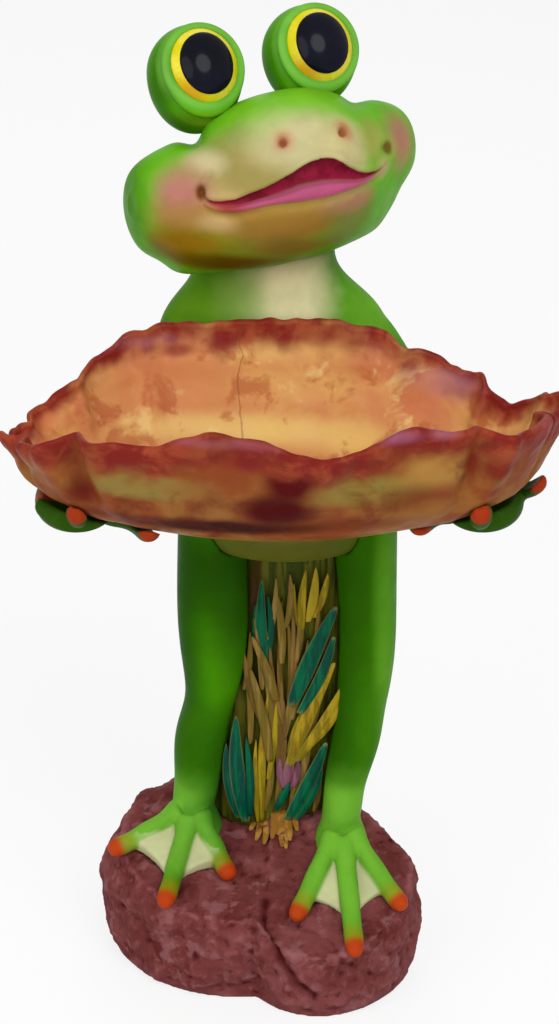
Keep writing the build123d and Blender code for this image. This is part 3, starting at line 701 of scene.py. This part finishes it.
co, ways = places(head), facings(head)
across, down = seen(co)
front = rising(0.0, 0.25, -(ways @ np.array(look))) * (co[:, 1] < face_front)
upper, inner, lower = (np.interp(across, mouth_lines[:, 0], mouth_lines[:, i]) for i in (1, 2, 3))
reach = rising(196, 208, across) * (1 - rising(380, 390, across)) * front
gape = np.clip((inner - upper) / 15, 0.12, 1)
carve = upper_lip * hump(upper - down - 3.2, 4.2) * reach
opening = rising(0.0, 2.2, down - upper) * (1 - rising(-2.0, 2.2, down - inner))
carve -= mouth_deep * opening * gape * reach
lip_share = np.clip((down - inner) / np.maximum(lower - inner, 1e-3), 0, 1)
carve += lower_lip * np.sin(np.pi * lip_share) ** 0.8 * reach * np.clip((lower - inner) / 12, 0.3, 1)
carve -= chin_groove * hump(down - lower - 4.5, 4.0) * reach
for (x, y), deep, wide in dimples:
    carve -= deep * hump(np.hypot(across - x, (down - y) * 0.8), wide) * front
for (x, y), high, wide in swells:
    carve += high * hump(np.hypot(across - x, down - y), wide) * front
carve -= fold_deep * hump(from_line(across, down, cheek_fold), 3.5) * front
for x, y in nostrils:
    gap = np.hypot((across - x) * 1.1, down - y)
    carve += (nostril_rim * hump(gap - 7, 2.6) - nostril_deep * hump(gap, 3.6)) * front
co = co + ways * (carve * mm)[:, None]
for (x, y), aside, rise, wide in grabs:
    pull = hump(np.hypot(across - x, down - y), wide)[:, None]
    co += pull * (np.array([aside, 0, 0]) + rise * np.array(up_in_view)) * mm
set_places(head, co)
set_mask(head, "mouth", rising(-0.6, 1.2, down - upper) * (1 - rising(-1.0, 1.5, down - inner))
         * rising(200, 212, across) * (1 - rising(376, 386, across)) * front)
set_mask(head, "lip", rising(-1.2, 1.2, down - inner) * (1 - rising(-3.5, 0.8, down - lower))
         * rising(204, 232, across) * (1 - rising(366, 384, across)) * front)

# Among these, the dark olive bands along the foot of the jaw are painted shade under the chin, and the deep green
# down the outer left cheek is painted side shade.
head_sprays = [
    (272, 212, 44, 20, (158, 124, 62), 0.95, 0.7), (300, 152, 36, 17, (170, 156, 98), 0.9, 0.7),
    (222, 192, 14, 9, (184, 158, 104), 0.9, 0.8), (352, 192, 15, 9, (156, 134, 82), 0.85),
    (168, 250, 13, 10, (116, 94, 8), 0.9, 0.8), (236, 264, 36, 6, (108, 86, 12), 0.95, 0.8),
    (285, 104, 48, 15, (113, 182, 30), 0.9, 0.8), (130, 208, 8, 28, (54, 110, 4), 0.8, 1.0),
    (232, 150, 15, 13, (124, 148, 60), 0.85), (252, 168, 24, 13, (153, 137, 78), 0.95, 0.8),
    (300, 142, 27, 13, (190, 180, 134), 0.95, 0.8), (346, 150, 17, 14, (194, 182, 128), 0.95, 0.8),
    (374, 138, 7, 12, (172, 158, 84), 0.7), (205, 162, 10, 5, (196, 182, 140), 0.85),
    (178, 194, 15, 14, (172, 108, 100), 0.95, 0.85), (188, 222, 22, 10, (178, 128, 72), 0.85),
    (190, 242, 24, 10, (144, 108, 18), 0.95, 0.8), (222, 262, 22, 6, (92, 74, 0), 0.95),
    (285, 226, 36, 10, (150, 114, 48), 0.95, 0.8), (290, 248, 30, 8, (132, 106, 42), 0.9, 0.8),
    (216, 224, 10, 5, (198, 168, 112), 0.85), (350, 222, 14, 14, (118, 134, 60), 0.85),
    (352, 203, 16, 5, (176, 124, 98), 0.75), (402, 138, 10, 15, (178, 112, 102)),
    (382, 168, 7, 5, (190, 156, 122), 0.8), (230, 206, 12, 3.2, (160, 80, 62), 0.8),
    (201, 193, 2.6, 4.2, (110, 58, 18), 0.95, 0.7), (387, 148, 2.6, 3.8, (100, 74, 30), 0.9, 0.7),
    (283, 143, 5.2, 5.4, (190, 132, 96)), (342, 133, 5.0, 5.4, (192, 138, 96)),
    (283, 143, 3.2, 3.8, (148, 80, 54), 0.95), (342, 133, 3.0, 3.6, (154, 92, 56), 0.95),
]
tree, place = new_paint("head_paint", [head], skin_rough)
colour = sprayed(tree, lime, place, head, head_sprays)
mouth_red = dabs(tree, place, linear(150, 30, 60), ((120, 22, 44), 70))
colour = blended(tree, mask_of(tree, "mouth"), colour, mouth_red)
lip_middle = aimed(tree_of(head), 218, 207)
lip_pink = patch(tree, place, linear(176, 80, 116), (150, 58, 56), lip_middle, (22 * mm,) * 3, 0.8)
colour = blended(tree, mask_of(tree, "lip"), colour, lip_pink)
skin_finish(tree, place, colour)

# Eyes. A round ball is pegged into each side of the crown, with a raised lid modelled round the eye.
# A yellow ring and a domed black pupil are set into it, painted and thinly clear coated.
# Sizes in mm, with the ball's centre as nothing, and angles in degrees.
ball_radius = 26.0
lid_angle = 57.0
lid_rise = 2.0
lid_spread = 4.2
eye_seat = 13.0
ring_half = (18.9, 20.7)
pupil_half = (14.6, 16.9)
ring_dome = 25.7
pupil_dome = 26.9
eye_turns = 96
dome_steps = 24
lid_from, lid_to = 21.0, 25.0
lid_front = 8 * mm
lid_paint, lid_paint_wide = 21.6, 2.6
ball_from, ball_to, ball_steps = 180, 49, 90
socket_half = 18.9
opening_across, opening_high = -0.05, 0.03
eye_across = 34.0
eye_back = 1.1
eye_rise = 63.0
gaze_up = 13.0
eye_lift = {"left": 2.9, "right": 0.0}
eye_sink = {"left": 0.26, "right": 0.16}
# The deep green sprayed on the left of each ball and low down is painted side shade, and the lime on its right side
# is a painted highlight.
eye_sprays = {
    "left": [
        (158, 90, 9, 22, (44, 98, 2)), (205, 122, 16, 5, (112, 134, 24), 0.7), (176, 124, 11, 7, (42, 90, 6), 0.8),
        (236, 60, 5, 16, (112, 176, 50), 0.6),
    ],
    "right": [
        (274, 60, 6, 18, (64, 128, 6), 0.8), (330, 92, 18, 5, (96, 154, 34), 0.6),
        (353, 60, 5, 16, (116, 176, 58), 0.6),
    ],
}


def turned(outline):
    """A form spun round its own axis from a half outline of radius and height, in mm."""
    form = bmesh.new()
    corners = [form.verts.new((radius * mm, 0, high * mm)) for radius, high in outline]
    edges = [form.edges.new(pair) for pair in zip(corners, corners[1:])]
    bmesh.ops.spin(form, geom=corners + edges, cent=(0, 0, 0), axis=(0, 0, 1), angle=2 * math.pi, steps=eye_turns,
                   use_merge=True)
    bmesh.ops.remove_doubles(form, verts=form.verts, dist=0.005 * mm)
    bmesh.ops.recalc_face_normals(form, faces=form.faces)
    return form


def dome_outline(reach, dome):
    """The half outline of a lens whose top is a dome and whose foot is at the seat."""
    outline = [(0, eye_seat - 0.5), (reach * 0.98, eye_seat - 0.5)]
    low = math.sqrt(dome ** 2 - reach ** 2)
    outline.append((reach, low - 0.8))
    shares = [1 - step / dome_steps for step in range(dome_steps + 1)]
    return outline + [(reach * s, math.sqrt(dome ** 2 - (reach * s) ** 2) - 0.5 * s ** 10) for s in shares]


for side, sign in (("left", -1), ("right", 1)):
    eye_place = head_place @ Matrix.Translation(Vector((sign * eye_across, eye_back, eye_rise)) * mm)
    eye_place = Matrix.Translation(up_in_view * eye_lift[side] * mm) @ eye_place
    eye_place = eye_place @ Matrix.Rotation(math.radians(90 - gaze_up), 4, "X")
    outline = []
    for angle in np.linspace(ball_from, ball_to, ball_steps):
        radius = ball_radius + lid_rise * math.exp(-((angle - lid_angle) / lid_spread) ** 2)
        outline.append((radius * math.sin(math.radians(angle)), radius * math.cos(math.radians(angle))))
    outline[0] = (0, outline[0][1])
    outline += [(socket_half + 0.4, eye_seat + 1), (socket_half, eye_seat), (0, eye_seat)]
    form = turned(outline)
    # The opening is made a little taller than wide, and the ball is drawn down behind the lid, so that its foot
    # sinks into the crown.
    for vert in form.verts:
        inward = lid_to - math.hypot(vert.co.x, vert.co.y) / mm
        if vert.co.z > 0 and inward > 0:
            vert.co.x *= 1 + opening_across * min(1, inward / 4)
            vert.co.y *= 1 + opening_high * min(1, inward / 4)
        flat = math.hypot(vert.co.x, vert.co.y) / mm
        behind = 1.0 if vert.co.z < lid_front else min(1.0, max(0.0, (flat - lid_from) / (lid_to - lid_from)))
        vert.co = eye_place @ vert.co
        low = min(0.0, (vert.co - eye_place.translation).dot(up_in_view))
        vert.co += up_in_view * low * eye_sink[side] * behind
    ball = add_piece(f"{side}_eye_ball", form, "green_skin", f"{side}_eyeball")
    from_eye = (places(ball) - np.array(eye_place.translation)) @ np.array(eye_place.to_3x3())
    flat = np.hypot(from_eye[:, 0], from_eye[:, 1]) / mm
    set_mask(ball, "lid", hump(flat - lid_paint, lid_paint_wide) * (from_eye[:, 2] > lid_front))
    tree, place = new_paint(f"{side}_eye_ball_paint", [ball], 0.40, 0.02)
    colour = sprayed(tree, linear(84, 156, 16), place, ball, eye_sprays[side])
    colour = blended(tree, calc(tree, "MULTIPLY", mask_of(tree, "lid"), 0.7), colour, linear(120, 184, 74))
    skin_finish(tree, place, colour)
    for label, node_name, half, dome, slot in (("ring", "iris", ring_half, ring_dome, "eye_yellow"),
                                               ("pupil", "pupil", pupil_half, pupil_dome, "eye_black")):
        form = turned(dome_outline(sum(half) / 2, dome))
        for vert in form.verts:
            vert.co.x *= 2 * half[0] / sum(half)
            vert.co.y *= 2 * half[1] / sum(half)
        bmesh.ops.transform(form, matrix=eye_place, verts=form.verts)
        piece = add_piece(f"{side}_eye_{label}", form, slot, f"{side}_{node_name}")
        tree, place = new_paint(f"{side}_eye_{label}_paint", [piece], 0.3, 0.15)
        if label == "ring":
            colour = dabs(tree, place, linear(206, 194, 16), ((222, 206, 60), 60))
            ring_foot = eye_place @ (Vector((-14, -14, 18)) * mm)
            colour = patch(tree, place, colour, (190, 130, 14), ring_foot, (16 * mm,) * 3, 0.9, 0.8)
        else:
            colour = dabs(tree, place, linear(6, 6, 16), ((14, 13, 30), 40, 0.5, 0.25))
        finish(tree, place, colour, (70, 0.26, 0.36))

# Its outside is painted darker than its own orange brown as painted shade under the dish, darkest along its foot.
# Dish. A wide leaf with a ruffled, folded rim, cast thin and held in the palms of both hands.
# It is sponged in gold, salmon and rust over orange, with a maroon rim that is touched with lavender.
# Sizes in mm. Levels are shares of the depth, long and short are shares of the half sizes at each level, and
# a rim row is a share of the half length with how high the rim stands there.
dish_half_length = 151.0
dish_half_width = 76.0
dish_depth = 66.0
dish_wall = 5.4
dish_base = Vector((0, -114, 337.94))
dish_levels = [0.0, 0.12, 0.28, 0.6, 1.25]
dish_long = [0.52, 0.72, 0.86, 0.955, 1.01]
dish_short = [0.45, 0.60, 0.72, 0.87, 1.03]
rim_back = [(-1.1, 0.66), (-0.97, 0.66), (-0.84, 0.76), (-0.73, 0.90), (-0.68, 0.97), (-0.47, 1.10), (-0.28, 1.20),
            (-0.13, 1.23), (0.1, 1.21), (0.3, 1.16), (0.44, 1.03), (0.52, 1.05), (0.59, 0.92), (0.73, 0.88),
            (0.79, 0.80), (0.84, 0.68), (0.97, 0.88), (1.1, 0.90)]
rim_front = [(-1.1, 0.66), (-0.93, 0.76), (-0.72, 0.98), (-0.45, 1.02), (-0.27, 1.16), (-0.05, 1.14), (0.07, 1.02),
             (0.22, 0.94), (0.34, 1.02), (0.42, 1.15), (0.59, 1.11), (0.80, 1.03), (0.91, 0.98), (1.1, 0.90)]
ruffle_share, ruffle_count = 0.035, 7
rim_flare = 3.2
rim_wander = 3.4
rim_small, rim_large = 0.07, 0.03
# Folds: the turn round the rim in degrees, how far the wall is drawn in and how wide the fold is in degrees.
dish_folds = [
    (225, 11.0, 3.4), (231, -4.0, 3.6), (217, -3.0, 4.0), (313, 8.5, 3.0), (319, -4.0, 3.4), (141, 8.0, 3.4),
    (118, 4.0, 2.6), (62, 4.5, 3.0), (38, 7.5, 3.0), (33, -3.5, 2.6), (196, 7.0, 3.6), (345, 7.0, 3.0),
    (262, 2.5, 6.0), (286, 3.5, 4.0), (102, 2.5, 4.0), (78, 2.5, 4.0), (160, 5.0, 3.4), (18, 5.0, 3.0),
]
dish_lumps, dish_lump_size = 0.9, 17.0
dish_around, dish_profile = 380, 150
lumps_from, lumps_to = 339 * mm, 346 * mm
base_share, rim_from, rim_to = 0.20, 0.46, 0.54


def smooth_table(values, at, table):
    """A smooth curve through the rows of a table."""
    at, table = np.array(at, float), np.array(table, float)
    slope = np.gradient(table, at)
    row = np.clip(np.searchsorted(at, values) - 1, 0, len(at) - 2)
    gap = at[row + 1] - at[row]
    t = np.clip((values - at[row]) / gap, 0, 1)
    return ((2 * t**3 - 3 * t**2 + 1) * table[row] + (t**3 - 2 * t**2 + t) * gap * slope[row]
            + (3 * t**2 - 2 * t**3) * table[row + 1] + (t**3 - t**2) * gap * slope[row + 1])


form = bmesh.new()
bmesh.ops.create_grid(form, x_segments=dish_around, y_segments=dish_profile, size=1)
dish = add_piece("leaf_dish", form, "dish_paint", "dish")
grid = places(dish)
turn, along = (grid[:, 0] + 1) * math.pi, (grid[:, 1] + 1) / 2
share_x, share_y = np.cos(turn), np.sin(turn)
ring_place = np.stack([share_x * 40, share_y * 40, np.zeros(len(turn))], 1)
rim_ripple = lumps_at(ring_place, 9.0, 3, 4.1)
high = np.where(share_y > 0, smooth_table(share_x, *zip(*rim_back)), smooth_table(share_x, *zip(*rim_front)))
high += rim_small * rim_ripple + rim_large * lumps_at(ring_place, 22.0, 2, 9.3)
outside = along < 0.5
leg_share = np.where(outside, along, 1 - along) / rim_from
wall_share = np.clip((leg_share - base_share) / (1 - base_share), 0, 1)
floor_share = np.clip(leg_share / base_share, 0, 1)
level = high * wall_share
wave = 1 + ruffle_share * level * np.sin(ruffle_count * turn)
normal = np.stack([share_x / dish_half_length, share_y / dish_half_width], 1)
normal /= np.linalg.norm(normal, axis=1)[:, None]
bulge = rim_flare * rising(0.72, 1.0, wall_share) + rim_wander * rim_ripple * wall_share ** 3
for degrees, deep, wide in dish_folds:
    gap = (np.degrees(turn) - degrees + 180) % 360 - 180
    bulge -= deep * hump(gap, wide) * rising(0.05, 0.9, wall_share)
inset = np.where(outside, 0.0, dish_wall)
flat_x = dish_half_length * smooth_table(level, dish_levels, dish_long) * wave * floor_share * share_x
flat_y = dish_half_width * smooth_table(level, dish_levels, dish_short) * wave * floor_share * share_y
flat_z = level * dish_depth + np.where(outside, 0.0, dish_wall * (1 - wall_share))
shift = (bulge - inset) * floor_share
co = np.stack([flat_x + normal[:, 0] * shift, flat_y + normal[:, 1] * shift, flat_z], 1)
on_rim = (along > rim_from) & (along < rim_to)
arc = (along - rim_from) / (rim_to - rim_from) * math.pi
rounding = inset - dish_wall / 2 + dish_wall / 2 * np.cos(arc)
rim_over = np.stack([normal[:, 0] * rounding, normal[:, 1] * rounding, dish_wall / 2 * np.sin(arc)], 1)
co = np.where(on_rim[:, None], co + rim_over, co) + np.array(dish_base)
set_places(dish, co * mm)
edge_dab = lumps_at(co, 16.0, 3, 2.2)
set_mask(dish, "outside", rising(0.0, 1.0, (0.5 - along) / 0.02 + 0.5))
set_mask(dish, "rim", rising(0.66, 0.97, wall_share + 0.16 * edge_dab - np.where(outside, 0.0, 0.08)))
form = taken_from(dish)
bmesh.ops.remove_doubles(form, verts=form.verts, dist=0.02 * mm)
bmesh.ops.recalc_face_normals(form, faces=form.faces)
put_back(dish, form)
co, ways = places(dish), facings(dish)
rough = lumps_at(co, dish_lump_size * mm, 3, 6.0) * dish_lumps * rising(lumps_from, lumps_to, co[:, 2])
set_places(dish, co + ways * (rough * mm)[:, None])

inside_sprays = [
    (150, 372, 22, 9, (190, 112, 72), 0.6), (110, 400, 17, 10, (192, 122, 78), 0.6),
    (290, 335, 42, 5, (140, 64, 40), 0.75), (200, 425, 42, 6, (218, 184, 108), 0.75),
    (290, 432, 42, 6, (222, 188, 112), 0.75), (350, 445, 24, 5, (218, 178, 102), 0.7),
    (285, 385, 30, 9, (214, 168, 100), 0.5), (420, 405, 18, 8, (190, 108, 72), 0.7),
    (455, 385, 18, 6, (160, 94, 100), 0.75), (485, 400, 8, 10, (132, 52, 40), 0.8),
    (40, 415, 14, 8, (192, 106, 64), 0.7), (178, 350, 9, 3, (132, 36, 30), 0.8, 0.8),
    (262, 352, 22, 5, (214, 172, 104), 0.6), (372, 365, 20, 6, (176, 92, 60), 0.6),
]
# The dark bands along the foot of the dish are painted shade under it.
outside_sprays = [
    (142, 487, 27, 8.5, (132, 112, 54), 0.95, 0.5), (196, 492, 16, 7, (136, 92, 44), 0.8),
    (303, 468, 10, 9, (92, 16, 14), 0.95, 0.8), (292, 488, 13, 12, (78, 6, 8), 1.0, 0.7),
    (278, 512, 18, 12, (70, 6, 6), 1.0, 0.7), (364, 490, 27, 10, (134, 112, 50), 0.95, 0.6),
    (440, 470, 18, 10, (164, 122, 58), 0.9, 0.8), (232, 480, 12, 10, (128, 62, 30), 0.8),
    (345, 526, 32, 5, (112, 50, 16), 0.9, 0.8), (520, 440, 11, 12, (176, 122, 66), 0.9, 0.8),
    (215, 527, 46, 5.5, (54, 10, 4), 1.0, 0.7), (82, 492, 9, 8, (92, 24, 16)), (38, 462, 10, 9, (160, 80, 44), 0.8),
    (150, 458, 30, 3.5, (120, 34, 24)), (472, 462, 3.5, 12, (112, 30, 16)), (250, 466, 16, 4, (136, 48, 30), 0.8),
    (405, 500, 14, 8, (108, 54, 22), 0.7), (500, 470, 8, 8, (104, 34, 18), 0.8),
    (112, 515, 26, 4, (96, 34, 16), 0.8),
]
rim_sprays = [
    (300, 452, 18, 3.5, (158, 90, 96), 0.8), (215, 445, 28, 3, (146, 76, 84), 0.7), (120, 440, 18, 3, (96, 22, 24)),
    (440, 378, 20, 4, (156, 96, 108), 0.85), (400, 438, 10, 3.5, (142, 78, 102), 0.8),
    (445, 432, 7, 3.5, (150, 86, 100), 0.8), (330, 318, 26, 3, (96, 22, 30)), (548, 420, 6, 8, (140, 70, 66), 0.8),
    (150, 342, 16, 3, (148, 84, 92), 0.6), (250, 322, 14, 3, (124, 38, 22), 0.8),
    (75, 400, 12, 4, (126, 40, 26), 0.8), (520, 400, 8, 6, (118, 36, 32), 0.8),
]
# Vein: a dark line where a plane cuts the leaf. It has a point and the way that the plane faces.
vein_point, vein_way = Vector((-18, -100, 360)) * mm, Vector((1.0, 0.10, -0.05)).normalized()
vein_stray = 0.012

tree, place = new_paint("dish_paint", [dish], 0.46, 0.05)
inside = dabs(tree, place, linear(204, 152, 88), ((196, 126, 80), 24, 0.52, 0.08, 0.85))
inside = sprayed(tree, inside, place, dish, inside_sprays)
inside = dabs(tree, place, inside, ((168, 86, 50), 46, 0.42, 0.06, 0.65), ((224, 192, 124), 37, 0.38, 0.06, 0.65))
# The outside's orange brown, olive gold and maroon paint are all laid darker, as painted shade under the dish.
outer_paint_and_shade = dabs(tree, place, linear(128, 62, 30), ((144, 98, 46), 26, 0.5, 0.12, 0.8))
outer_paint_and_shade = sprayed(tree, outer_paint_and_shade, place, dish, outside_sprays)
outer_paint_and_shade = dabs(tree, place, outer_paint_and_shade, ((88, 20, 12), 34, 0.38, 0.10, 0.6))
rim_paint = dabs(tree, place, linear(118, 32, 26), ((150, 66, 40), 60, 0.45, 0.10, 0.8))
rim_paint = sprayed(tree, rim_paint, place, dish, rim_sprays)
colour = blended(tree, mask_of(tree, "outside"), inside, outer_paint_and_shade)
colour = blended(tree, mask_of(tree, "rim"), colour, rim_paint)
vein_wander = calc(tree, "MULTIPLY", calc(tree, "SUBTRACT", noise_at(tree, place, 45.0), 0.5), vein_stray)
vein_off = calc(tree, "DOT_PRODUCT", place, tuple(vein_way), kind=vector_math, out=1)
gap = calc(tree, "ADD", calc(tree, "SUBTRACT", vein_off, vein_way.dot(vein_point)), vein_wander)
line = ramped(tree, calc(tree, "ABSOLUTE", gap), 0.2 * mm, 0.8 * mm, 0.4, 0.0)
inner_only = calc(tree, "SUBTRACT", 1.0, mask_of(tree, "outside"))
colour = blended(tree, calc(tree, "MULTIPLY", line, inner_only), colour, linear(112, 58, 30))
finish(tree, place, colour, (60, 0.34, 0.52), (1.2, 0.5, 110, 4.0))

# Reed post. A moulded clump of upright reeds that closes the gap between the legs and stiffens them.
# It is matt dark olive with brown and gold strokes brushed up the stems.
post_voxel, post_rounds = 1.3 * mm, 2
stem_stretch = 0.10
stem_ridge = 1.3 * mm
post = fused_skin("reed_clump", ["reed_post"], post_voxel, post_rounds, "reed_paint")
co, ways = places(post), facings(post)
stretched = co * np.array([1, 1, stem_stretch])
ridge = np.abs(lumps_at(stretched, 5.5 * mm, 2, 3.0))
set_places(post, co + ways * ((0.35 - ridge) * 2 * stem_ridge)[:, None])

tree, place = new_paint("reed_paint", [post], 0.6, 0.05)
strokes = brushed(tree, place)
colour = dabs(tree, strokes, linear(56, 64, 14), ((96, 94, 26), 190, 0.5, 0.07, 0.9),
              ((84, 50, 28), 130, 0.38, 0.06, 0.8), ((34, 42, 12), 240, 0.36, 0.05, 0.8))
finish(tree, strokes, colour, (300, 0.45, 0.7), (0.8, 0.6, 420))

# Leaves, stalks and bud. Long pointed blades modelled on the front of the clump, a few to each cast leaf.
# Each is cupped with a ridge down its middle, and is brushed in teal, gold, brown or purple.
leaf_cells = (8, 26)
leaf_thick = 1.9 * mm
leaf_cup = 0.22
leaf_rib = 0.10
leaf_bend = 0.25
# Leaf rows: foot and point in the picture, half width in pixels, y in mm, bow in pixels.
leaf_groups = [
    ("teal_leaf_upper_left", "leaf_teal", [
        (266, 676, 262, 580, 6.5, -11, -3), (262, 660, 256, 604, 4.0, -10, -3), (270, 650, 268, 596, 3.4, -12, 2)]),
    ("teal_leaf_upper_right", "leaf_teal", [
        (292, 704, 336, 606, 8.5, -12, -2), (300, 690, 326, 622, 5.0, -10, -5), (300, 712, 334, 636, 5.0, -13, 4)]),
    ("teal_leaf_lower_left", "leaf_teal", [
        (246, 822, 236, 716, 8.5, -13, -4), (238, 818, 226, 744, 5.0, -12, -4), (250, 816, 246, 738, 4.4, -14, 2)]),
    ("teal_leaf_lower_right", "leaf_teal", [
        (288, 818, 326, 742, 6.5, -13, 2), (296, 820, 322, 766, 5.0, -14, 4), (276, 810, 290, 782, 4.5, -14, 0)]),
    ("yellow_leaf_top", "leaf_yellow", [
        (302, 630, 306, 570, 4.5, -12, -2), (308, 622, 316, 568, 5.0, -12, 2), (314, 618, 328, 574, 4.6, -11, 2),
        (298, 626, 294, 584, 3.2, -11, -2)]),
    ("yellow_leaf_right", "leaf_yellow", [
        (290, 764, 334, 662, 6.5, -12, -3), (296, 760, 344, 684, 5.0, -13, 3), (288, 756, 318, 688, 4.0, -11, -4),
        (300, 752, 342, 700, 4.0, -13, 5)]),
    ("yellow_leaf_left", "leaf_yellow", [
        (262, 822, 268, 694, 4.5, -12, -3), (268, 780, 276, 704, 3.6, -12, 2), (258, 822, 256, 740, 3.2, -13, -2)]),
    ("brown_reed", "reed_brown", [
        (286, 760, 282, 600, 3.2, -11, -4), (282, 720, 270, 640, 2.6, -12, -3), (288, 700, 292, 590, 2.6, -12, 3),
        (262, 724, 244, 652, 4.0, -12, -3)]),
    ("purple_bud", "bud_purple", [
        (288, 790, 290, 752, 6.0, -13, 0), (284, 788, 280, 758, 4.0, -13, -2), (292, 788, 298, 760, 4.0, -14, 2)]),
]
leaf_colours = {
    "leaf_teal": [(4, 66, 50), (0, 96, 62), (14, 56, 66)],
    "leaf_yellow": [(120, 104, 14), (164, 140, 26), (120, 80, 24)],
    "reed_brown": [(92, 70, 26), (132, 100, 50), (70, 46, 26)],
    "bud_purple": [(112, 64, 80), (132, 84, 102), (78, 52, 58)],
}
# Stalk rows: foot and point in the picture, and half width in mm.
stalks = [
    (262, 690, 254, 618, 2.25), (296, 664, 300, 596, 2.25), (308, 740, 322, 672, 2.1), (300, 780, 306, 716, 2.25),
    (250, 744, 246, 676, 2.1), (272, 740, 262, 650, 2.25), (290, 812, 296, 744, 2.25), (244, 690, 250, 632, 1.95),
    (314, 812, 318, 766, 2.1), (264, 812, 272, 752, 2.25), (312, 660, 318, 604, 1.95), (290, 700, 288, 622, 2.25),
    (282, 664, 276, 590, 2.55), (276, 700, 252, 636, 2.25), (284, 740, 296, 640, 2.4), (270, 760, 250, 668, 2.4),
    (292, 720, 308, 640, 2.1), (280, 780, 272, 690, 2.7), (276, 812, 284, 700, 2.4), (268, 640, 276, 578, 1.95),
    (296, 800, 312, 720, 1.95), (254, 800, 262, 720, 2.25), (286, 628, 290, 574, 2.1), (304, 690, 322, 640, 1.8),
]
stalk_foot, stalk_top, stalk_bow = -12 * mm, -11 * mm, 1.5 * mm


def bladed(name, slot, blades, *replaced):
    """A piece made of pointed blades, each with its foot, tip, half width and bow, cupped, ribbed and thickened."""
    form = bmesh.new()
    for low, high, half_width, bow in blades:
        made = bmesh.ops.create_grid(form, x_segments=leaf_cells[0], y_segments=leaf_cells[1], size=1)
        out = (high - low).cross(to_right).normalized()
        if out.y > 0:
            out.negate()
        for vert in made["verts"]:
            across, along = vert.co.x, (vert.co.y + 1) / 2
            wide = half_width * (math.sin(math.pi * min(1, along * 0.92 + 0.08)) ** 0.65 * (1 - 0.25 * along) + 0.06)
            lift = -leaf_cup * across ** 2 * wide + leaf_rib * wide * math.exp(-(across * 4) ** 2)
            vert.co = (low + (high - low) * along + to_right * (across * wide + bow * math.sin(math.pi * along))
                       + out * (lift + half_width * leaf_bend * math.sin(math.pi * along)))
        faces = list({face for vert in made["verts"] for face in vert.link_faces})
        bmesh.ops.recalc_face_normals(form, faces=faces)
        bmesh.ops.solidify(form, geom=faces, thickness=leaf_thick)
    bmesh.ops.recalc_face_normals(form, faces=form.faces)
    return add_piece(name, form, slot, *replaced)


for name, slot, rows in leaf_groups:
    blades = []
    for x0, y0, x1, y1, half, depth, bow in rows:
        low, high = at_depth(x0, y0, depth * mm), at_depth(x1, y1, depth * mm)
        pixel = (low - camera_place).length / lens_pixels
        blades.append((low, high, half * pixel, bow * pixel))
    leaf = bladed(f"{name}_blades", slot, blades, name)
    tree, place = new_paint(f"{name}_paint", [leaf], 0.5, 0.1)
    strokes = brushed(tree, place, 0.12)
    dark, light, third = leaf_colours[slot]
    colour = dabs(tree, strokes, linear(*dark), (light, 210, 0.5, 0.08, 0.85), (third, 150, 0.38, 0.06, 0.7))
    colour = blended(tree, wear_and_hollow_shade_of(tree, 0.52, 0.60, 0.35), colour, linear(176, 160, 90))
    finish(tree, strokes, colour, (260, 0.4, 0.62), (0.6, 0.6, 380))

blades = [(at_depth(x0, y0, stalk_foot), at_depth(x1, y1, stalk_top), half * mm, stalk_bow)
          for x0, y0, x1, y1, half in stalks]
stalk_piece = bladed("reed_stalks", "reed_brown", blades)
tree, place = new_paint("stalk_paint", [stalk_piece], 0.5, 0.1)
strokes = brushed(tree, place)
colour = dabs(tree, strokes, linear(108, 88, 30), ((142, 116, 60), 200, 0.45, 0.08, 0.9),
              ((92, 62, 30), 140, 0.4, 0.06, 0.8))
finish(tree, strokes, colour, None, (0.6, 0.6, 380))

# Root tuft. Short dry blades at the foot of the clump, splayed over the top of the rock between the feet.
# They are cast with the rock and picked out in ochre over its reddish brown.
tuft_blades = [
    (262, 816, 256, 842, 3.0), (268, 812, 264, 846, 3.2), (274, 814, 272, 840, 3.0), (278, 812, 282, 848, 3.4),
    (284, 814, 290, 842, 3.0), (272, 810, 278, 836, 2.6), (288, 812, 297, 832, 2.8), (258, 814, 250, 832, 2.6),
    (280, 818, 286, 850, 2.6), (266, 818, 258, 834, 2.4),
]
tuft_half, tuft_bow = 0.58 * mm, 0.8 * mm
rock_search = tree_of(rock)
blades = []
for x0, y0, x1, y1, half in tuft_blades:
    low = aimed(rock_search, x0, y0) + Vector((0, -1, 2.5)) * mm
    high = aimed(rock_search, x1, y1) + Vector((0, 0, 0.4)) * mm
    blades.append((low, high, half * tuft_half, tuft_bow))
tuft = bladed("root_tuft", "reed_brown", blades)
tree, place = new_paint("tuft_paint", [tuft], 0.6)
colour = dabs(tree, place, linear(140, 96, 36), ((170, 126, 58), 160, 0.45), ((96, 44, 32), 120, 0.42, 0.06, 0.8))
finish(tree, place, colour, None, (0.6, 0.6, 380))
